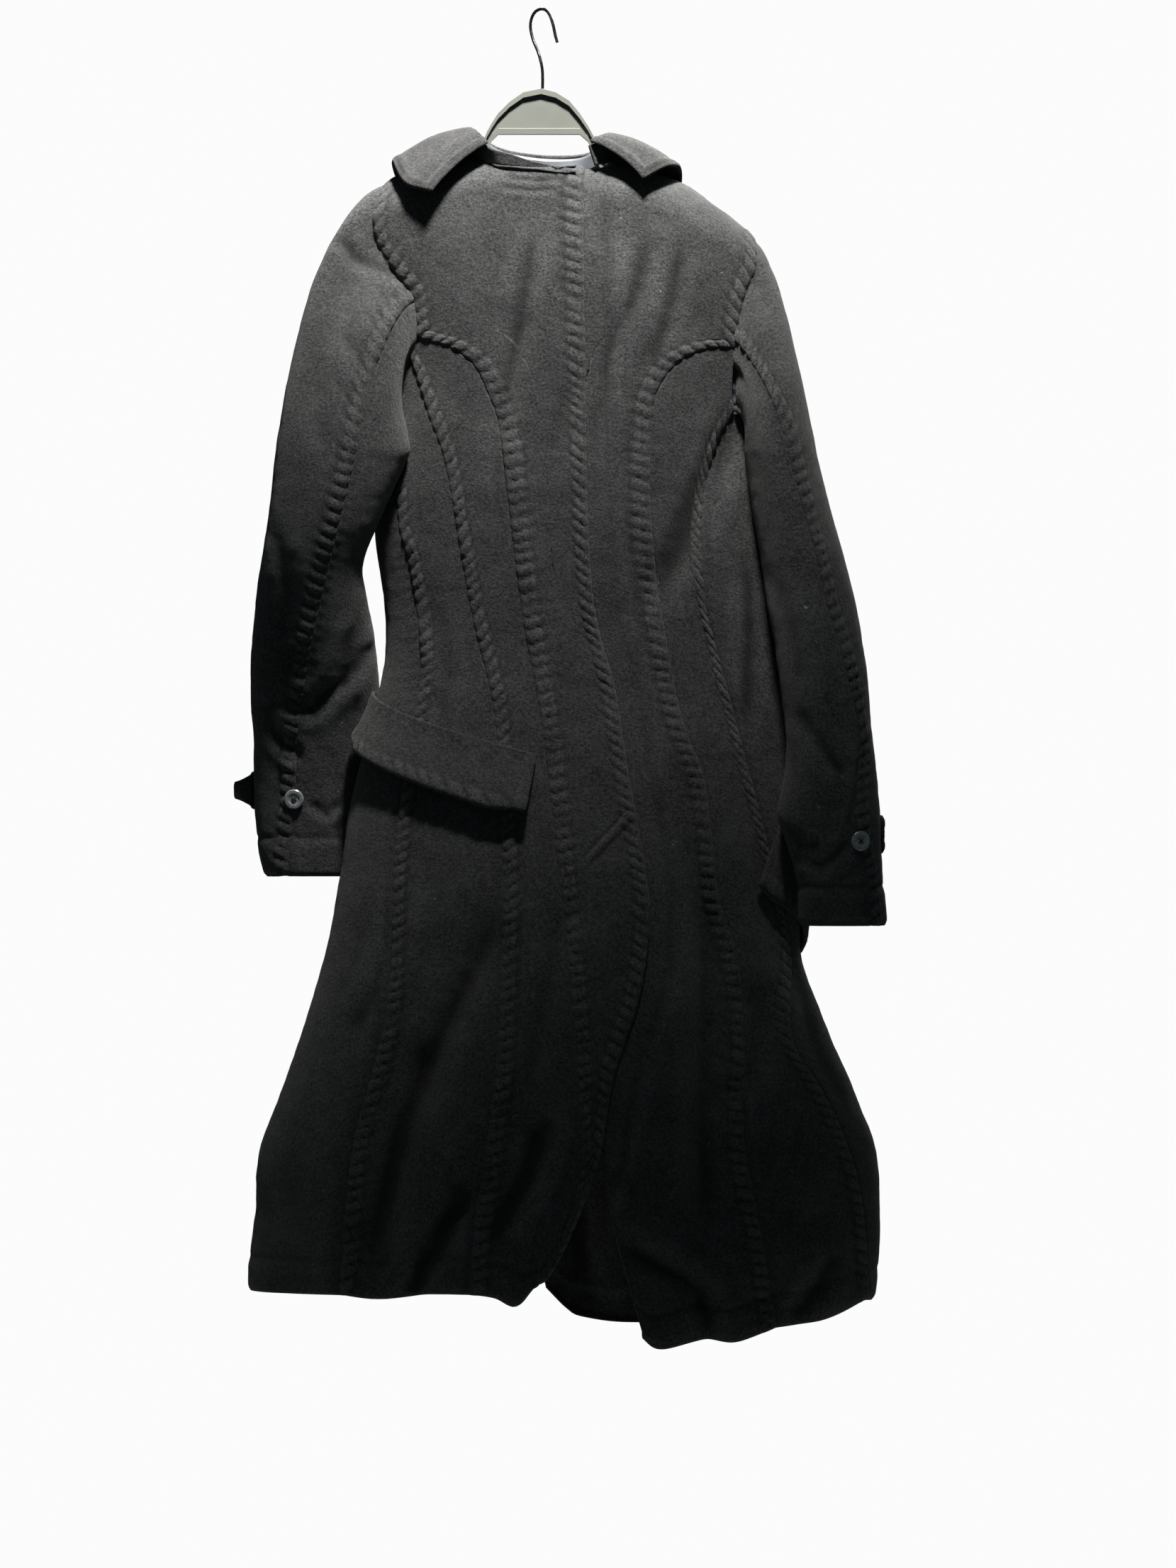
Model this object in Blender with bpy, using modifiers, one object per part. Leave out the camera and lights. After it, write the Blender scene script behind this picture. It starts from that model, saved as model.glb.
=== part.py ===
"""A felted wool coat with raised seams, hanging on a plastic hanger with a wire hook."""
import math

import bmesh
import bpy
from mathutils import Vector

# Driving sizes in millimetres. The origin is the inside of the hook's top, and the front faces -Y.
MM = 0.001
CLOTH = 2.2
HALF = CLOTH / 2
SEAM_GAP = 0.34
BAND_WIDTH = 13.0
BAND_RISE = 1.7
RIDGE = 36.0
UNDERLAP = 3.6
FLAP_THICK = 3.2
COLLAR_THICK = 3.0
ARMHOLE_GAP = 0.65
BUTTON_RADIUS = 9.5
WIRE_RADIUS = 1.5
ROWS_DOWN = 18

# Cross-sections of the body: height, left edge, right edge, front half depth, back half depth.
SECTIONS = (
    (-100, -190, 236, 44, 40), (-185, -179, 232, 54, 48), (-240, -165, 226, 60, 54), (-300, -147, 215, 62, 57),
    (-360, -139, 207, 62, 58), (-425, -148, 209, 62, 56), (-490, -157, 215, 60, 54), (-560, -148, 226, 57, 52),
    (-625, -147, 235, 56, 52), (-700, -164, 248, 64, 60), (-770, -181, 252, 74, 72), (-840, -191, 249, 84, 84),
    (-905, -204, 246, 92, 94), (-970, -223, 268, 99, 102), (-1035, -245, 296, 105, 110),
    (-1095, -267, 318, 110, 117), (-1150, -271, 322, 113, 121), (-1210, -277, 319, 112, 122),
    (-1280, -276, 308, 103, 116))

# Shoulder line, x then height.
SHOULDER = (
    (-260, -262), (-215, -224), (-179, -191), (-133, -161), (-100, -150), (-65, -141), (-30, -134), (0, -132),
    (30, -136), (67, -147), (100, -156), (137, -170), (161, -187), (188, -207), (205, -226), (260, -290))

# Seams and edges seen from the front, x then height, from the top down.
NECK_FRONT = ((-65, -141), (-63, -144), (-56, -149), (-42, -153), (-24, -155), (0, -156), (20, -156), (40, -155))
NECK_RIGHT = ((13, -156), (24, -156), (40, -156), (54, -154), (63, -151), (67, -147))
NECK_BACK = ((-65, -141), (-62, -145), (-45, -155), (-20, -162), (-2, -163), (20, -163), (45, -159), (63, -152),
             (67, -147))
ARMHOLE_LEFT = ((-148, -170), (-156, -190), (-158, -207), (-153, -228), (-138, -252), (-122, -277), (-118, -300),
                (-118, -315))
ARMHOLE_LEFT_LOW = ((-118, -315), (-124, -331))
ARMHOLE_LEFT_SIDE = ((-124, -331), (-129, -346), (-135, -362))
ARMHOLE_RIGHT = ((203, -224), (203, -250), (196, -266), (190, -286), (186, -308), (185, -325))
ARMHOLE_RIGHT_LOW = ((185, -325), (182, -345), (181, -368), (184, -388))
PRINCESS_LEFT = ((-118, -315), (-101, -320), (-84, -326), (-63, -343), (-50, -371), (-39, -405), (-31, -466),
                 (-17, -581), (1, -683), (15, -806), (29, -942), (36, -1030), (40, -1090), (31, -1146),
                 (12, -1190), (-9, -1219))
FRONT_LEFT = ((-124, -331), (-105, -391), (-89, -439), (-73, -534), (-63, -588), (-43, -677), (-36, -785),
              (-35, -874), (-41, -1010), (-53, -1105), (-62, -1160), (-66, -1224))
SIDE_FRONT_LEFT = ((-135, -362), (-137, -425), (-134, -493), (-124, -534), (-114, -600), (-114, -649), (-124, -704),
                   (-137, -806), (-143, -942), (-155, -1003), (-175, -1078), (-186, -1159), (-189, -1226))
EDGE_LEFT_UP = ((40, -155), (40, -228), (41, -315))
EDGE_LEFT = ((41, -315), (43, -466), (50, -575), (69, -649), (82, -731), (97, -816), (102, -874), (93, -942),
             (69, -1017), (58, -1078), (51, -1105), (33, -1155), (14, -1195), (3, -1211))
EDGE_RIGHT_UP = ((13, -156), (13, -228), (14, -325))
EDGE_RIGHT = ((14, -325), (16, -466), (23, -575), (50, -697), (61, -768), (69, -874), (63, -1010), (61, -1071),
              (66, -1146), (83, -1214), (97, -1265))
PRINCESS_RIGHT = ((185, -325), (161, -326), (134, -337), (114, -360), (105, -391), (103, -466), (110, -547),
                  (131, -670), (154, -738), (168, -840), (185, -901), (195, -989), (192, -1078), (209, -1173),
                  (222, -1257))
SIDE_FRONT_RIGHT = ((184, -388), (168, -425), (156, -479), (154, -560), (168, -622), (188, -697), (216, -806),
                    (236, -901), (237, -983), (263, -1030), (284, -1071), (300, -1119), (307, -1166), (310, -1233))
# Hems, x then height, from left to right.
HEM_LEFT_CENTRE = ((-9, -1219), (-2, -1214), (3, -1211))
HEM_LEFT_MID = ((-66, -1224), (-43, -1227), (-24, -1235), (-9, -1219))
HEM_LEFT_FRONT = ((-189, -1226), (-152, -1229), (-97, -1224), (-66, -1224))
HEM_RIGHT_CENTRE = ((97, -1265), (114, -1276), (155, -1267), (185, -1270), (222, -1257))
HEM_RIGHT_MID = ((222, -1257), (270, -1250), (310, -1233))

# Two-piece sleeves: height, outer edge, inner edge, middle y, half depth, front seam x.
SLEEVE_LEFT = (
    (-425, -250, -128, -42, 36, -175), (-490, -257, -157, -36, 35, -192), (-534, -265, -174, -24, 34, -203),
    (-568, -270, -169, -12, 33, -211), (-602, -274, -163, 0, 33, -219), (-636, -276, -160, 12, 32, -225),
    (-670, -276, -158, 22, 31, -230), (-700, -274, -160, 28, 30, -234), (-728, -274, -163, 32, 30, -235),
    (-765, -273, -167, 35, 29, -237), (-799, -269, -171, 36, 28, -241), (-831, -262, -177, 36, 28, -242))
SLEEVE_RIGHT = (
    (-425, 260, 198, -30, 54, 233), (-490, 276, 207, -34, 50, 250), (-534, 288, 214, -38, 47, 262),
    (-568, 296, 219, -42, 44, 269), (-602, 303, 225, -46, 42, 280), (-636, 307, 230, -49, 40, 288),
    (-670, 310, 234, -52, 38, 296), (-704, 313, 237, -56, 36, 300), (-738, 317, 234, -60, 34, 299),
    (-772, 320, 229, -64, 32, 297), (-806, 321, 240, -64, 31, 303), (-840, 323, 248, -62, 31, 308),
    (-877, 326, 250, -60, 30, 312))

# Sleeve heads: drop, reach, how much narrower.
HEAD_LEFT = (0.7, 60, 20)
HEAD_RIGHT = (1.7, 40, 28)

# Folds of the front and back: top x, top height, low x, low height, half width, how deep.
FRONT_FOLDS = (
    (-50, -887, -111, -1010, 26, 10), (-111, -1010, -160, -1173, 26, 12), (-73, -1136, -122, -1225, 15, 15),
    (1, -1071, -43, -1166, 18, 8), (158, -850, 158, -1140, 24, 10), (205, -942, 178, -1040, 18, 8),
    (182, -398, 114, -554, 20, 9), (80, -1180, 151, -1235, 16, 8), (-19, -296, -43, -398, 22, 4))
BACK_FOLDS = (
    (-150, -900, -190, -1210, 26, 12), (-40, -960, -66, -1210, 20, 9), (60, -930, 70, -1240, 26, 12),
    (150, -900, 176, -1230, 26, 11), (240, -960, 262, -1210, 22, 10), (30, -420, 70, -600, 26, 5))

# Collar leaf: fold crest x, y, z and outer edge x, y, z, from the left point round the back to the right one.
COLLAR_LEAF = (
    (-50, -51, -131, -104, -64, -179), (-61, -34, -119, -130, -46, -170), (-70, -6, -113, -143, -10, -146),
    (-62, 28, -118, -134, 40, -166), (-38, 47, -129, -88, 74, -194), (0, 53, -135, 0, 82, -206),
    (38, 48, -135, 88, 76, -198), (58, 30, -127, 128, 42, -182), (67, -4, -120, 135, -4, -155),
    (61, -33, -122, 123, -42, -153), (47, -51, -129, 98, -64, -167))
# Collar stand: neck seam x, y, z and top x, y, z, from the left front round the back to the hidden right end.
COLLAR_STAND = (
    (34, -57, -155, 33, -58, -151), (0, -55, -156, -2, -58, -146), (-24, -53, -155, -28, -57, -138),
    (-42, -47, -153, -50, -51, -131), (-58, -31, -148, -61, -34, -119), (-66, -4, -140, -70, -6, -113),
    (-61, 26, -143, -62, 28, -118), (-42, 45, -154, -38, 47, -129), (-2, 51, -162, 0, 53, -135),
    (42, 47, -158, 38, 48, -135), (61, 28, -151, 58, 30, -127), (68, -4, -146, 67, -4, -120),
    (62, -31, -151, 61, -33, -122), (52, -45, -154, 47, -51, -129))

# Hanger's arched plate: x, top, bottom, half thickness. The arms follow the shoulder line.
PLATE = (
    (-57, -130, -147, 5), (-52, -117, -136, 5), (-47, -108, -125, 5), (-41, -99, -119, 5), (-30, -88, -119, 5),
    (-17, -79, -119, 5), (0, -75.5, -119, 5), (14, -79, -119, 5), (27, -87, -119, 5), (37, -99, -119, 5),
    (45, -111, -126, 5), (52, -124, -142, 5), (58, -138, -154, 5))
ARM_LEFT = (-170, -160, -150, -135, -120, -105, -90, -78, -66)
ARM_RIGHT = (68, 80, 94, 108, 122, 136, 150, 165, 180, 194)
ARM_HEIGHT = 13.0
ARM_HALF = 4.5
RIM = 5.0
WEB = 1.6
# Hook wire: x seen from the front and height. The hook is turned on its swivel, so it also runs in y.
HOOK = ((1.4, -75), (1.4, -60), (0, -50), (-3.4, -38), (-7.5, -28), (-10, -18), (-10.2, -11), (-8.5, -4.5), (-5, 0),
        (0, 1.5), (4.5, 0), (8.5, -5.5), (11.6, -15), (13.6, -25), (15.6, -32))
HOOK_TURN = math.tan(math.radians(50))


def read_table(rows):
    """Gives a smooth reading of a table whose first column is the position."""
    rows = sorted(rows)
    keys = [row[0] for row in rows]

    def slope(index, column):
        low = max(index - 1, 0)
        high = min(index + 1, len(rows) - 1)
        return (rows[high][column] - rows[low][column]) / (keys[high] - keys[low])

    def read(key):
        key = min(max(key, keys[0]), keys[-1])
        index = 0
        while index < len(keys) - 2 and key > keys[index + 1]:
            index += 1
        span = keys[index + 1] - keys[index]
        t = (key - keys[index]) / span
        values = []
        for column in range(1, len(rows[0])):
            start, end = rows[index][column], rows[index + 1][column]
            pull = span * slope(index, column)
            push = span * slope(index + 1, column)
            values.append((2 * t ** 3 - 3 * t ** 2 + 1) * start + (t ** 3 - 2 * t ** 2 + t) * pull
                          + (3 * t ** 2 - 2 * t ** 3) * end + (t ** 3 - t ** 2) * push)
        return values
    return read


section = read_table(SECTIONS)
shoulder = read_table(SHOULDER)


def smooth_step(value):
    value = min(max(value, 0.0), 1.0)
    return value * value * (3 - 2 * value)


def fold_depth(folds, x, z):
    """How far the folds of a table draw a point in."""
    total = 0.0
    for x0, z0, x1, z1, width, depth in folds:
        length = math.hypot(x1 - x0, z1 - z0)
        share = ((x - x0) * (x1 - x0) + (z - z0) * (z1 - z0)) / length ** 2
        across = ((x - x0) * (z1 - z0) - (z - z0) * (x1 - x0)) / length
        ends = smooth_step((share + 0.25) / 0.4) * smooth_step((1.3 - share) / 0.35)
        total += depth * ends * math.exp(-(across / width) ** 2)
    return total


def turn_at(x, z, back=False):
    """Turn round the body: 0 at the left side, 0.5 in front, 1 at the right side, negative behind the left."""
    left, right, _, _ = section(z)
    u = (x - (left + right) / 2) / ((right - left) / 2)
    turn = math.acos(min(max(-u, -1.0), 1.0)) / math.pi
    return -turn if back else turn


def body_point(turn, z, lift=0.0, folds=True):
    """Point of the body's middle surface, raised by lift along its normal."""
    left, right, front, behind = section(z)
    middle, half = (left + right) / 2, (right - left) / 2
    angle = math.pi * turn
    x = middle - half * math.cos(angle)
    in_front = math.sin(angle) >= 0
    depth = front if in_front else behind
    rise = max(0.0, 1 - max(0.0, shoulder(x)[0] - z) / RIDGE)
    y = -depth * math.sin(angle) * math.sqrt(1 - rise * rise)
    # The normal is the gradient of y^2 - depth^2 (1 - u^2) (1 - rise^2).
    u = (x - middle) / half
    tilt = (shoulder(x + 1)[0] - shoulder(x - 1)[0]) / 2
    side = depth ** 2 * (1 - u * u)
    crown = depth ** 2 * (1 - rise * rise)
    grow_left, grow_right, _, _ = section(z - 2)
    lean = u * ((grow_right - grow_left) / 2 - half) / -2 + ((grow_left + grow_right) / 2 - middle) / -2
    normal = Vector((2 * u / half * crown - side * 2 * rise * tilt / RIDGE, 2 * y,
                     -2 * u / half * crown * lean + side * 2 * rise / RIDGE))
    if normal.length < 1e-6:
        normal = Vector((0, 0, 1))
    normal.normalize()
    if folds:
        reach = smooth_step(abs(math.sin(angle)) / 0.35)
        lift -= reach * fold_depth(FRONT_FOLDS if in_front else BACK_FOLDS, x, z)
    return Vector((x, y, z)) + normal * lift, normal


def trace(points, back=False):
    """Smooth seam through x, z points, as many turn, z pairs with their distance along it."""
    samples = []
    rows = [(float(i), x, z) for i, (x, z) in enumerate(points)]
    read = read_table(rows)
    for step in range((len(points) - 1) * 8 + 1):
        x, z = read(step / 8)
        samples.append((turn_at(x, z, back), z))
    return measured(samples)


def measured(samples):
    length = 0.0
    result = [(0.0, *samples[0])]
    for a, b in zip(samples, samples[1:]):
        length += max((body_point(*b)[0] - body_point(*a)[0]).length, 1e-6)
        result.append((length, *b))
    return result


def along(samples, share):
    """Point of a traced seam at a share of its length."""
    target = share * samples[-1][0]
    for a, b in zip(samples, samples[1:]):
        if b[0] >= target:
            t = (target - a[0]) / (b[0] - a[0])
            return a[1] + (b[1] - a[1]) * t, a[2] + (b[2] - a[2]) * t
    return samples[-1][1], samples[-1][2]


UP_SHARES = [0.0, 0.04, 0.13, 0.27, 0.48, 0.74, 1.0]
DOWN_SHARES = [0.0, 0.02, 0.04, 0.065, 0.1, 0.145] + [0.145 + 0.855 * i / 13 for i in range(1, 14)]


def seam(points, back=False, shares=None):
    samples = trace(points, back)
    return [along(samples, share) for share in (shares or DOWN_SHARES)]


def side_seam(turn_top, turn_low, top, low):
    """Seam near the side, at a steady turn, with the same rows as the others."""
    return [(turn_top + (turn_low - turn_top) * share, top + (low - top) * share) for share in DOWN_SHARES]


def wall(name, inner, outer, material):
    """Closed cloth wall between two grids of points, made from one grid pushed out into a slab."""
    rows, columns = len(inner), len(inner[0])
    mesh = bmesh.new()
    bmesh.ops.create_grid(mesh, x_segments=columns - 1, y_segments=rows - 1, size=0.5)
    slab = bmesh.ops.extrude_face_region(mesh, geom=mesh.faces[:], use_keep_orig=True)
    pushed = {item for item in slab["geom"] if isinstance(item, bmesh.types.BMVert)}
    for vert in mesh.verts:
        column = round((vert.co.x + 0.5) * (columns - 1))
        row = round((vert.co.y + 0.5) * (rows - 1))
        grid = outer if vert in pushed else inner
        vert.co = grid[row][column] * MM
    bmesh.ops.recalc_face_normals(mesh, faces=mesh.faces[:])
    bmesh.ops.triangulate(mesh, faces=mesh.faces[:])
    return finish(name, mesh, material)


def finish(name, mesh, material):
    data = bpy.data.meshes.new(name)
    mesh.to_mesh(data)
    mesh.free()
    data.shade_smooth()
    data.set_sharp_from_angle(angle=math.radians(50))
    piece = bpy.data.objects.new(name, data)
    coat.objects.link(piece)
    data.materials.append(material)
    return piece


def finish_material(name, colour, roughness, metallic=0.0):
    material = bpy.data.materials.new(name)
    material.use_nodes = True
    shader = material.node_tree.nodes["Principled BSDF"]
    shader.inputs["Base Color"].default_value = (*colour, 1.0)
    shader.inputs["Roughness"].default_value = roughness
    shader.inputs["Metallic"].default_value = metallic
    return material


# Raised band beside a seam: distance from the seam and how much of the full rise it has there.
BAND = ((0.0, 0.1), (3.0, 1.0), (10.0, 1.0), (BAND_WIDTH, 0.0))


def panel(name, left, right, top, bottom, columns, band="", behind=None):
    """Cloth panel between two seams, filled in from its four edges. left and right have the same rows."""
    rows = len(left)
    grid, lifts = [], []
    for row in range(rows):
        a, b = left[row], right[row]
        share = row / (rows - 1)
        width = (body_point(*b)[0] - body_point(*a)[0]).length + 1e-3
        squeeze = min(1.0, 0.4 * width / BAND_WIDTH)
        near = [(d * squeeze / width, rise * min(1, squeeze * 1.6)) for d, rise in BAND]
        start, end = 0.0, 1.0
        places = []
        if "left" in band:
            places += near
            start = near[-1][0]
        if "right" in band:
            end = 1 - near[-1][0]
        plain = [start + (end - start) * i / columns for i in range(columns + 1)]
        places += [(u, 0.0) for u in plain[(1 if "left" in band else 0):]]
        if "right" in band:
            places += [(1 - u, rise) for u, rise in reversed(near[:-1])]
        line, raised = [], []
        for u, rise in places:
            turn = a[0] + (b[0] - a[0]) * u
            z = a[1] + (b[1] - a[1]) * u
            for edge, weight in ((top, (1 - share) ** 2), (bottom, share ** 2)):
                if edge:
                    first, last = along(edge, 0.0), along(edge, 1.0)
                    there = along(edge, u)
                    turn += weight * (there[0] - first[0] - (last[0] - first[0]) * u)
                    z += weight * (there[1] - first[1] - (last[1] - first[1]) * u)
            lift = 0.0
            if behind:
                x = body_point(turn, z)[0].x
                lift = -UNDERLAP * smooth_step((behind(z)[0] + 36 - x) / 16)
            line.append(body_point(turn, z, lift))
            raised.append(rise * BAND_RISE)
        grid.append(line)
        lifts.append(raised)
    middle = [[point.copy() for point, _ in line] for line in grid]
    for line in middle:
        for edge, inside in ((0, 1), (-1, -2)):
            line[edge] += (line[inside] - line[edge]).normalized() * SEAM_GAP / 2
    if top and abs(middle[0][0].y) < 3 and rows > ROWS_DOWN + 2:
        for point, below in zip(middle[0], middle[1]):
            point += (below - point).normalized() * SEAM_GAP / 2
    inner = [[p - n[1] * HALF for p, n in zip(line, normals)] for line, normals in zip(middle, grid)]
    outer = [[p + n[1] * (HALF + lift) for p, n, lift in zip(line, normals, raised)]
             for line, normals, raised in zip(middle, grid, lifts)]
    return wall(name, inner, outer, finish_material(name, FELT, 0.95))


def join(first, second):
    """Two traced edges, one after the other."""
    offset = first[-1][0]
    return first + [(offset + d, t, z) for d, t, z in second[1:]]


def shoulder_edge(x0, x1, steps=12):
    """The shoulder line between two x, as a traced edge."""
    points = []
    for i in range(steps + 1):
        x = x0 + (x1 - x0) * i / steps
        points.append((x, shoulder(x)[0]))
    return points


bpy.ops.object.select_all(action="DESELECT")
for old in list(bpy.data.objects):
    bpy.data.objects.remove(old, do_unlink=True)
coat = bpy.data.collections.new("coat_on_hanger")
bpy.context.scene.collection.children.link(coat)
cutters = bpy.data.collections.new("cutters")
bpy.context.scene.collection.children.link(cutters)
FELT = (0.035, 0.035, 0.036)
SATIN = (0.16, 0.16, 0.16)
HORN = (0.08, 0.08, 0.08)
PLASTIC = (0.3, 0.3, 0.27)
CHROME = (0.8, 0.8, 0.8)

# Body panels. Rows above the underarm follow the armholes, the others the seams.
armhole_left = seam(ARMHOLE_LEFT, shares=UP_SHARES)
armhole_right = seam(ARMHOLE_RIGHT, shares=UP_SHARES)
princess_left = seam(PRINCESS_LEFT)
front_left = seam(FRONT_LEFT)
side_front_left = seam(SIDE_FRONT_LEFT)
princess_right = seam(PRINCESS_RIGHT)
side_front_right = seam(SIDE_FRONT_RIGHT)
edge_left = seam(EDGE_LEFT_UP, shares=UP_SHARES)[:-1] + seam(EDGE_LEFT)
edge_right = seam(EDGE_RIGHT_UP, shares=UP_SHARES)[:-1] + seam(EDGE_RIGHT)
side_left_turn, side_right_turn = -0.1, 1.1
side_back_left = side_seam(side_left_turn, -0.14, -372, -1226)
side_back_right = side_seam(side_right_turn, 1.14, -398, -1240)
left_edge_of = read_table([(z, x) for x, z in EDGE_LEFT_UP[:-1] + EDGE_LEFT])

top_left = join(trace(shoulder_edge(-148, -65)), trace(NECK_FRONT))
top_right = join(trace(NECK_RIGHT), trace(shoulder_edge(67, 203)))
panel("front_left_centre", armhole_left[:-1] + princess_left, edge_left, top_left,
      trace(HEM_LEFT_CENTRE), 6, "left right")
panel("front_left_mid", front_left, princess_left, trace(tuple(reversed(ARMHOLE_LEFT_LOW))),
      trace(HEM_LEFT_MID), 3, "left")
panel("front_left_side", side_front_left, front_left, trace(tuple(reversed(ARMHOLE_LEFT_SIDE))),
      trace(HEM_LEFT_FRONT), 3, "left")
panel("side_left", side_back_left, side_front_left, None, None, 4)
panel("front_right_centre", edge_right, armhole_right[:-1] + princess_right, top_right,
      trace(HEM_RIGHT_CENTRE), 6, "right", left_edge_of)
panel("front_right_mid", princess_right, side_front_right, trace(ARMHOLE_RIGHT_LOW),
      trace(HEM_RIGHT_MID), 3, "right")
panel("side_right", side_front_right, side_back_right, None, None, 4)

# The back: a centre seam, open below as a vent whose edges part towards the hem.
VENT_TOP = -1000
CENTRE_BACK = ((-2, -163), (-3, -315))
CENTRE_BACK_LOW = ((-3, -315), (-10, -534), (-24, -738), (-40, -908), (-48, VENT_TOP))
BACK_ARMHOLE_LEFT = ((-148, -170), (-152, -200), (-140, -240), (-129, -280), (-125, -320), (-127, -350), (-132, -372))
BACK_ARMHOLE_RIGHT = ((203, -224), (200, -256), (193, -290), (189, -325), (190, -360), (198, -398))
vent_left = CENTRE_BACK_LOW + ((-72, -1105), (-106, -1236))
vent_right = tuple((x + 1.0, z) for x, z in CENTRE_BACK_LOW) + ((-24, -1105), (4, -1233))
back_armhole_left = seam(BACK_ARMHOLE_LEFT, True, UP_SHARES)
back_armhole_right = seam(BACK_ARMHOLE_RIGHT, True, UP_SHARES)
turned_right = [(turn - 2, z) for turn, z in side_back_right]
back_armhole_left[-1] = side_back_left[0]
back_armhole_right[-1] = turned_right[0]
centre_up = seam(CENTRE_BACK, True, UP_SHARES)
neck_back = trace(NECK_BACK, True)
half_left = [item for item in NECK_BACK if item[0] <= -2]
half_right = [item for item in NECK_BACK if item[0] >= -2]
back_top_left = join(trace(shoulder_edge(-148, -65), True), trace(half_left, True))
back_top_right = join(trace(half_right, True), trace(shoulder_edge(67, 203), True))
panel("back_left", back_armhole_left[:-1] + side_back_left, centre_up[:-1] + seam(vent_left, True), back_top_left,
      trace(((-255, -1226), (-192, -1228), (-138, -1235), (-106, -1236)), True), 6)
panel("back_right", centre_up[:-1] + seam(vent_right, True), back_armhole_right[:-1] + turned_right,
      back_top_right, trace(((4, -1233), (25, -1253), (42, -1261), (97, -1266), (200, -1262), (290, -1240)), True), 7)


def sleeve(name, rows, sign, loop, front_seam, head, rip):
    """Two-piece sleeve, from its armhole loop down to the cuff, as two walls that meet at two seams.

    loop holds turn round the sleeve, body turn and height for each column. 0 is the outer side,
    0.5 the front, 1 the inner side and 1.5 the back. head says how the sleeve's head leaves the
    armhole: how steeply it drops, how far it reaches, and how much narrower it is than the arm.
    """
    read = read_table(rows)
    heights = [row[0] for row in rows]
    cap_rows = 6
    drop, reach, narrower = head
    seam_column = min(range(len(loop)), key=lambda i: abs(loop[i][0] - front_seam))
    back_column = min(range(len(loop)), key=lambda i: abs(loop[i][0] - 1.45))
    start = [body_point(turn, z) for _, turn, z in loop]
    centre = sum((p for p, _ in start), Vector()) / len(start)
    grid = []
    for row in range(cap_rows + len(heights)):
        z = heights[max(0, row - cap_rows)]
        outer, inner, mid_y, depth, seam_x = read(z)
        middle, half = (outer + inner) / 2, abs(outer - inner) / 2
        seam_turn = math.acos(min(max(sign * (seam_x - middle) / half, -1), 1)) / math.pi
        blend = smooth_step(row / cap_rows)
        was = loop[seam_column][0]
        line = []
        for column, (turn, _, _) in enumerate(loop):
            if turn <= was:
                turned = turn * seam_turn / was
            elif turn <= 1.45:
                turned = seam_turn + (turn - was) * (1.45 - seam_turn) / (1.45 - was)
            else:
                turned = turn
            turned = turn + (turned - turn) * blend
            angle = math.pi * turned
            ring = Vector((middle + sign * half * math.cos(angle), mid_y - depth * math.sin(angle), z))
            low = smooth_step((1 - math.cos(math.pi * turn)) / 2)
            if row < cap_rows:
                first, normal = start[column]
                away = (first - centre).normalized()
                next_place, last_place = start[(column + 1) % len(loop)][0], start[column - 1][0]
                off_panel = (next_place - last_place).cross(normal).normalized() * -sign
                out = Vector((sign, 0, 0)) * (1 - 0.5 * low) + away * 0.2 - Vector((0, 0, drop * (1 - low)))
                out = (out + normal * 0.9 * low).normalized()
                gap = ARMHOLE_GAP + (rip(first) if rip else 0.0)
                t = max(0.0, row - 0.7) / (cap_rows - 0.7)
                p0 = first + off_panel * (gap + 4.5 - 3 * low) + normal * 2.6 * low
                p1 = first + out * (reach - (reach - 18) * low)
                p2 = ring + Vector((-sign * narrower * (1 - low), 0, 135 - 100 * low))
                point = (p0 * (1 - t) ** 3 + p1 * 3 * t * (1 - t) ** 2
                         + p2 * 3 * t * t * (1 - t) + ring * t ** 3)
            else:
                point = ring
            if row == 0:
                point = first + off_panel * gap
            elif row > 1:
                cleared = clear_of_body(point, CLOTH + 2.6 + (6.5 if sign > 0 and z < -690 else 0.0))
                outer_side = row < cap_rows and low < 0.35
                point = point.lerp(cleared, smooth_step((low - 0.05) / 0.3)) if outer_side else cleared
            line.append(point)
        grid.append(line)
    count = len(loop)
    normals = []
    for row in range(len(grid)):
        line = []
        for column in range(count):
            ahead = grid[row][(column + 1) % count] - grid[row][column - 1]
            down = grid[min(row + 1, len(grid) - 1)][column] - grid[max(row - 1, 0)][column]
            line.append(ahead.cross(down).normalized() * sign)
        normals.append(line)
    normals[0] = [normal for _, normal in start]
    pieces = (("upper", list(range(back_column - count, seam_column + 1))),
              ("under", list(range(seam_column, back_column + 1))))
    for label, columns in pieces:
        inner, outer = [], []
        for line, facing in zip(grid, normals):
            points = [line[c % count].copy() for c in columns]
            points[0] += (points[1] - points[0]).normalized() * SEAM_GAP / 2
            points[-1] += (points[-2] - points[-1]).normalized() * SEAM_GAP / 2
            rise = [0.0] * len(columns)
            if label == "upper":
                rise[-2] = BAND_RISE
            inner.append([p - facing[c % count] * HALF for p, c in zip(points, columns)])
            outer.append([p + facing[c % count] * (HALF + r) for p, c, r in zip(points, columns, rise)])
        wall(f"sleeve_{name}_{label}", inner, outer, finish_material(f"sleeve_{name}_{label}", FELT, 0.95))
    return grid, normals, seam_column


def clear_of_body(point, margin):
    """Moves a sleeve point just outside the body's section."""
    for _ in range(4):
        left, right, front, behind = section(point.z)
        depth = front if point.y < 0 else behind
        u = (point.x - (left + right) / 2) / ((right - left) / 2)
        v = point.y / depth
        level = math.hypot(u, v)
        slope = Vector((u / ((right - left) / 2), v / depth, 0)) / max(level, 1e-6)
        distance = (level - 1) / max(slope.length, 1e-6)
        if distance >= margin:
            break
        point = point + slope.normalized() * (margin - distance)
    return point


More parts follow.
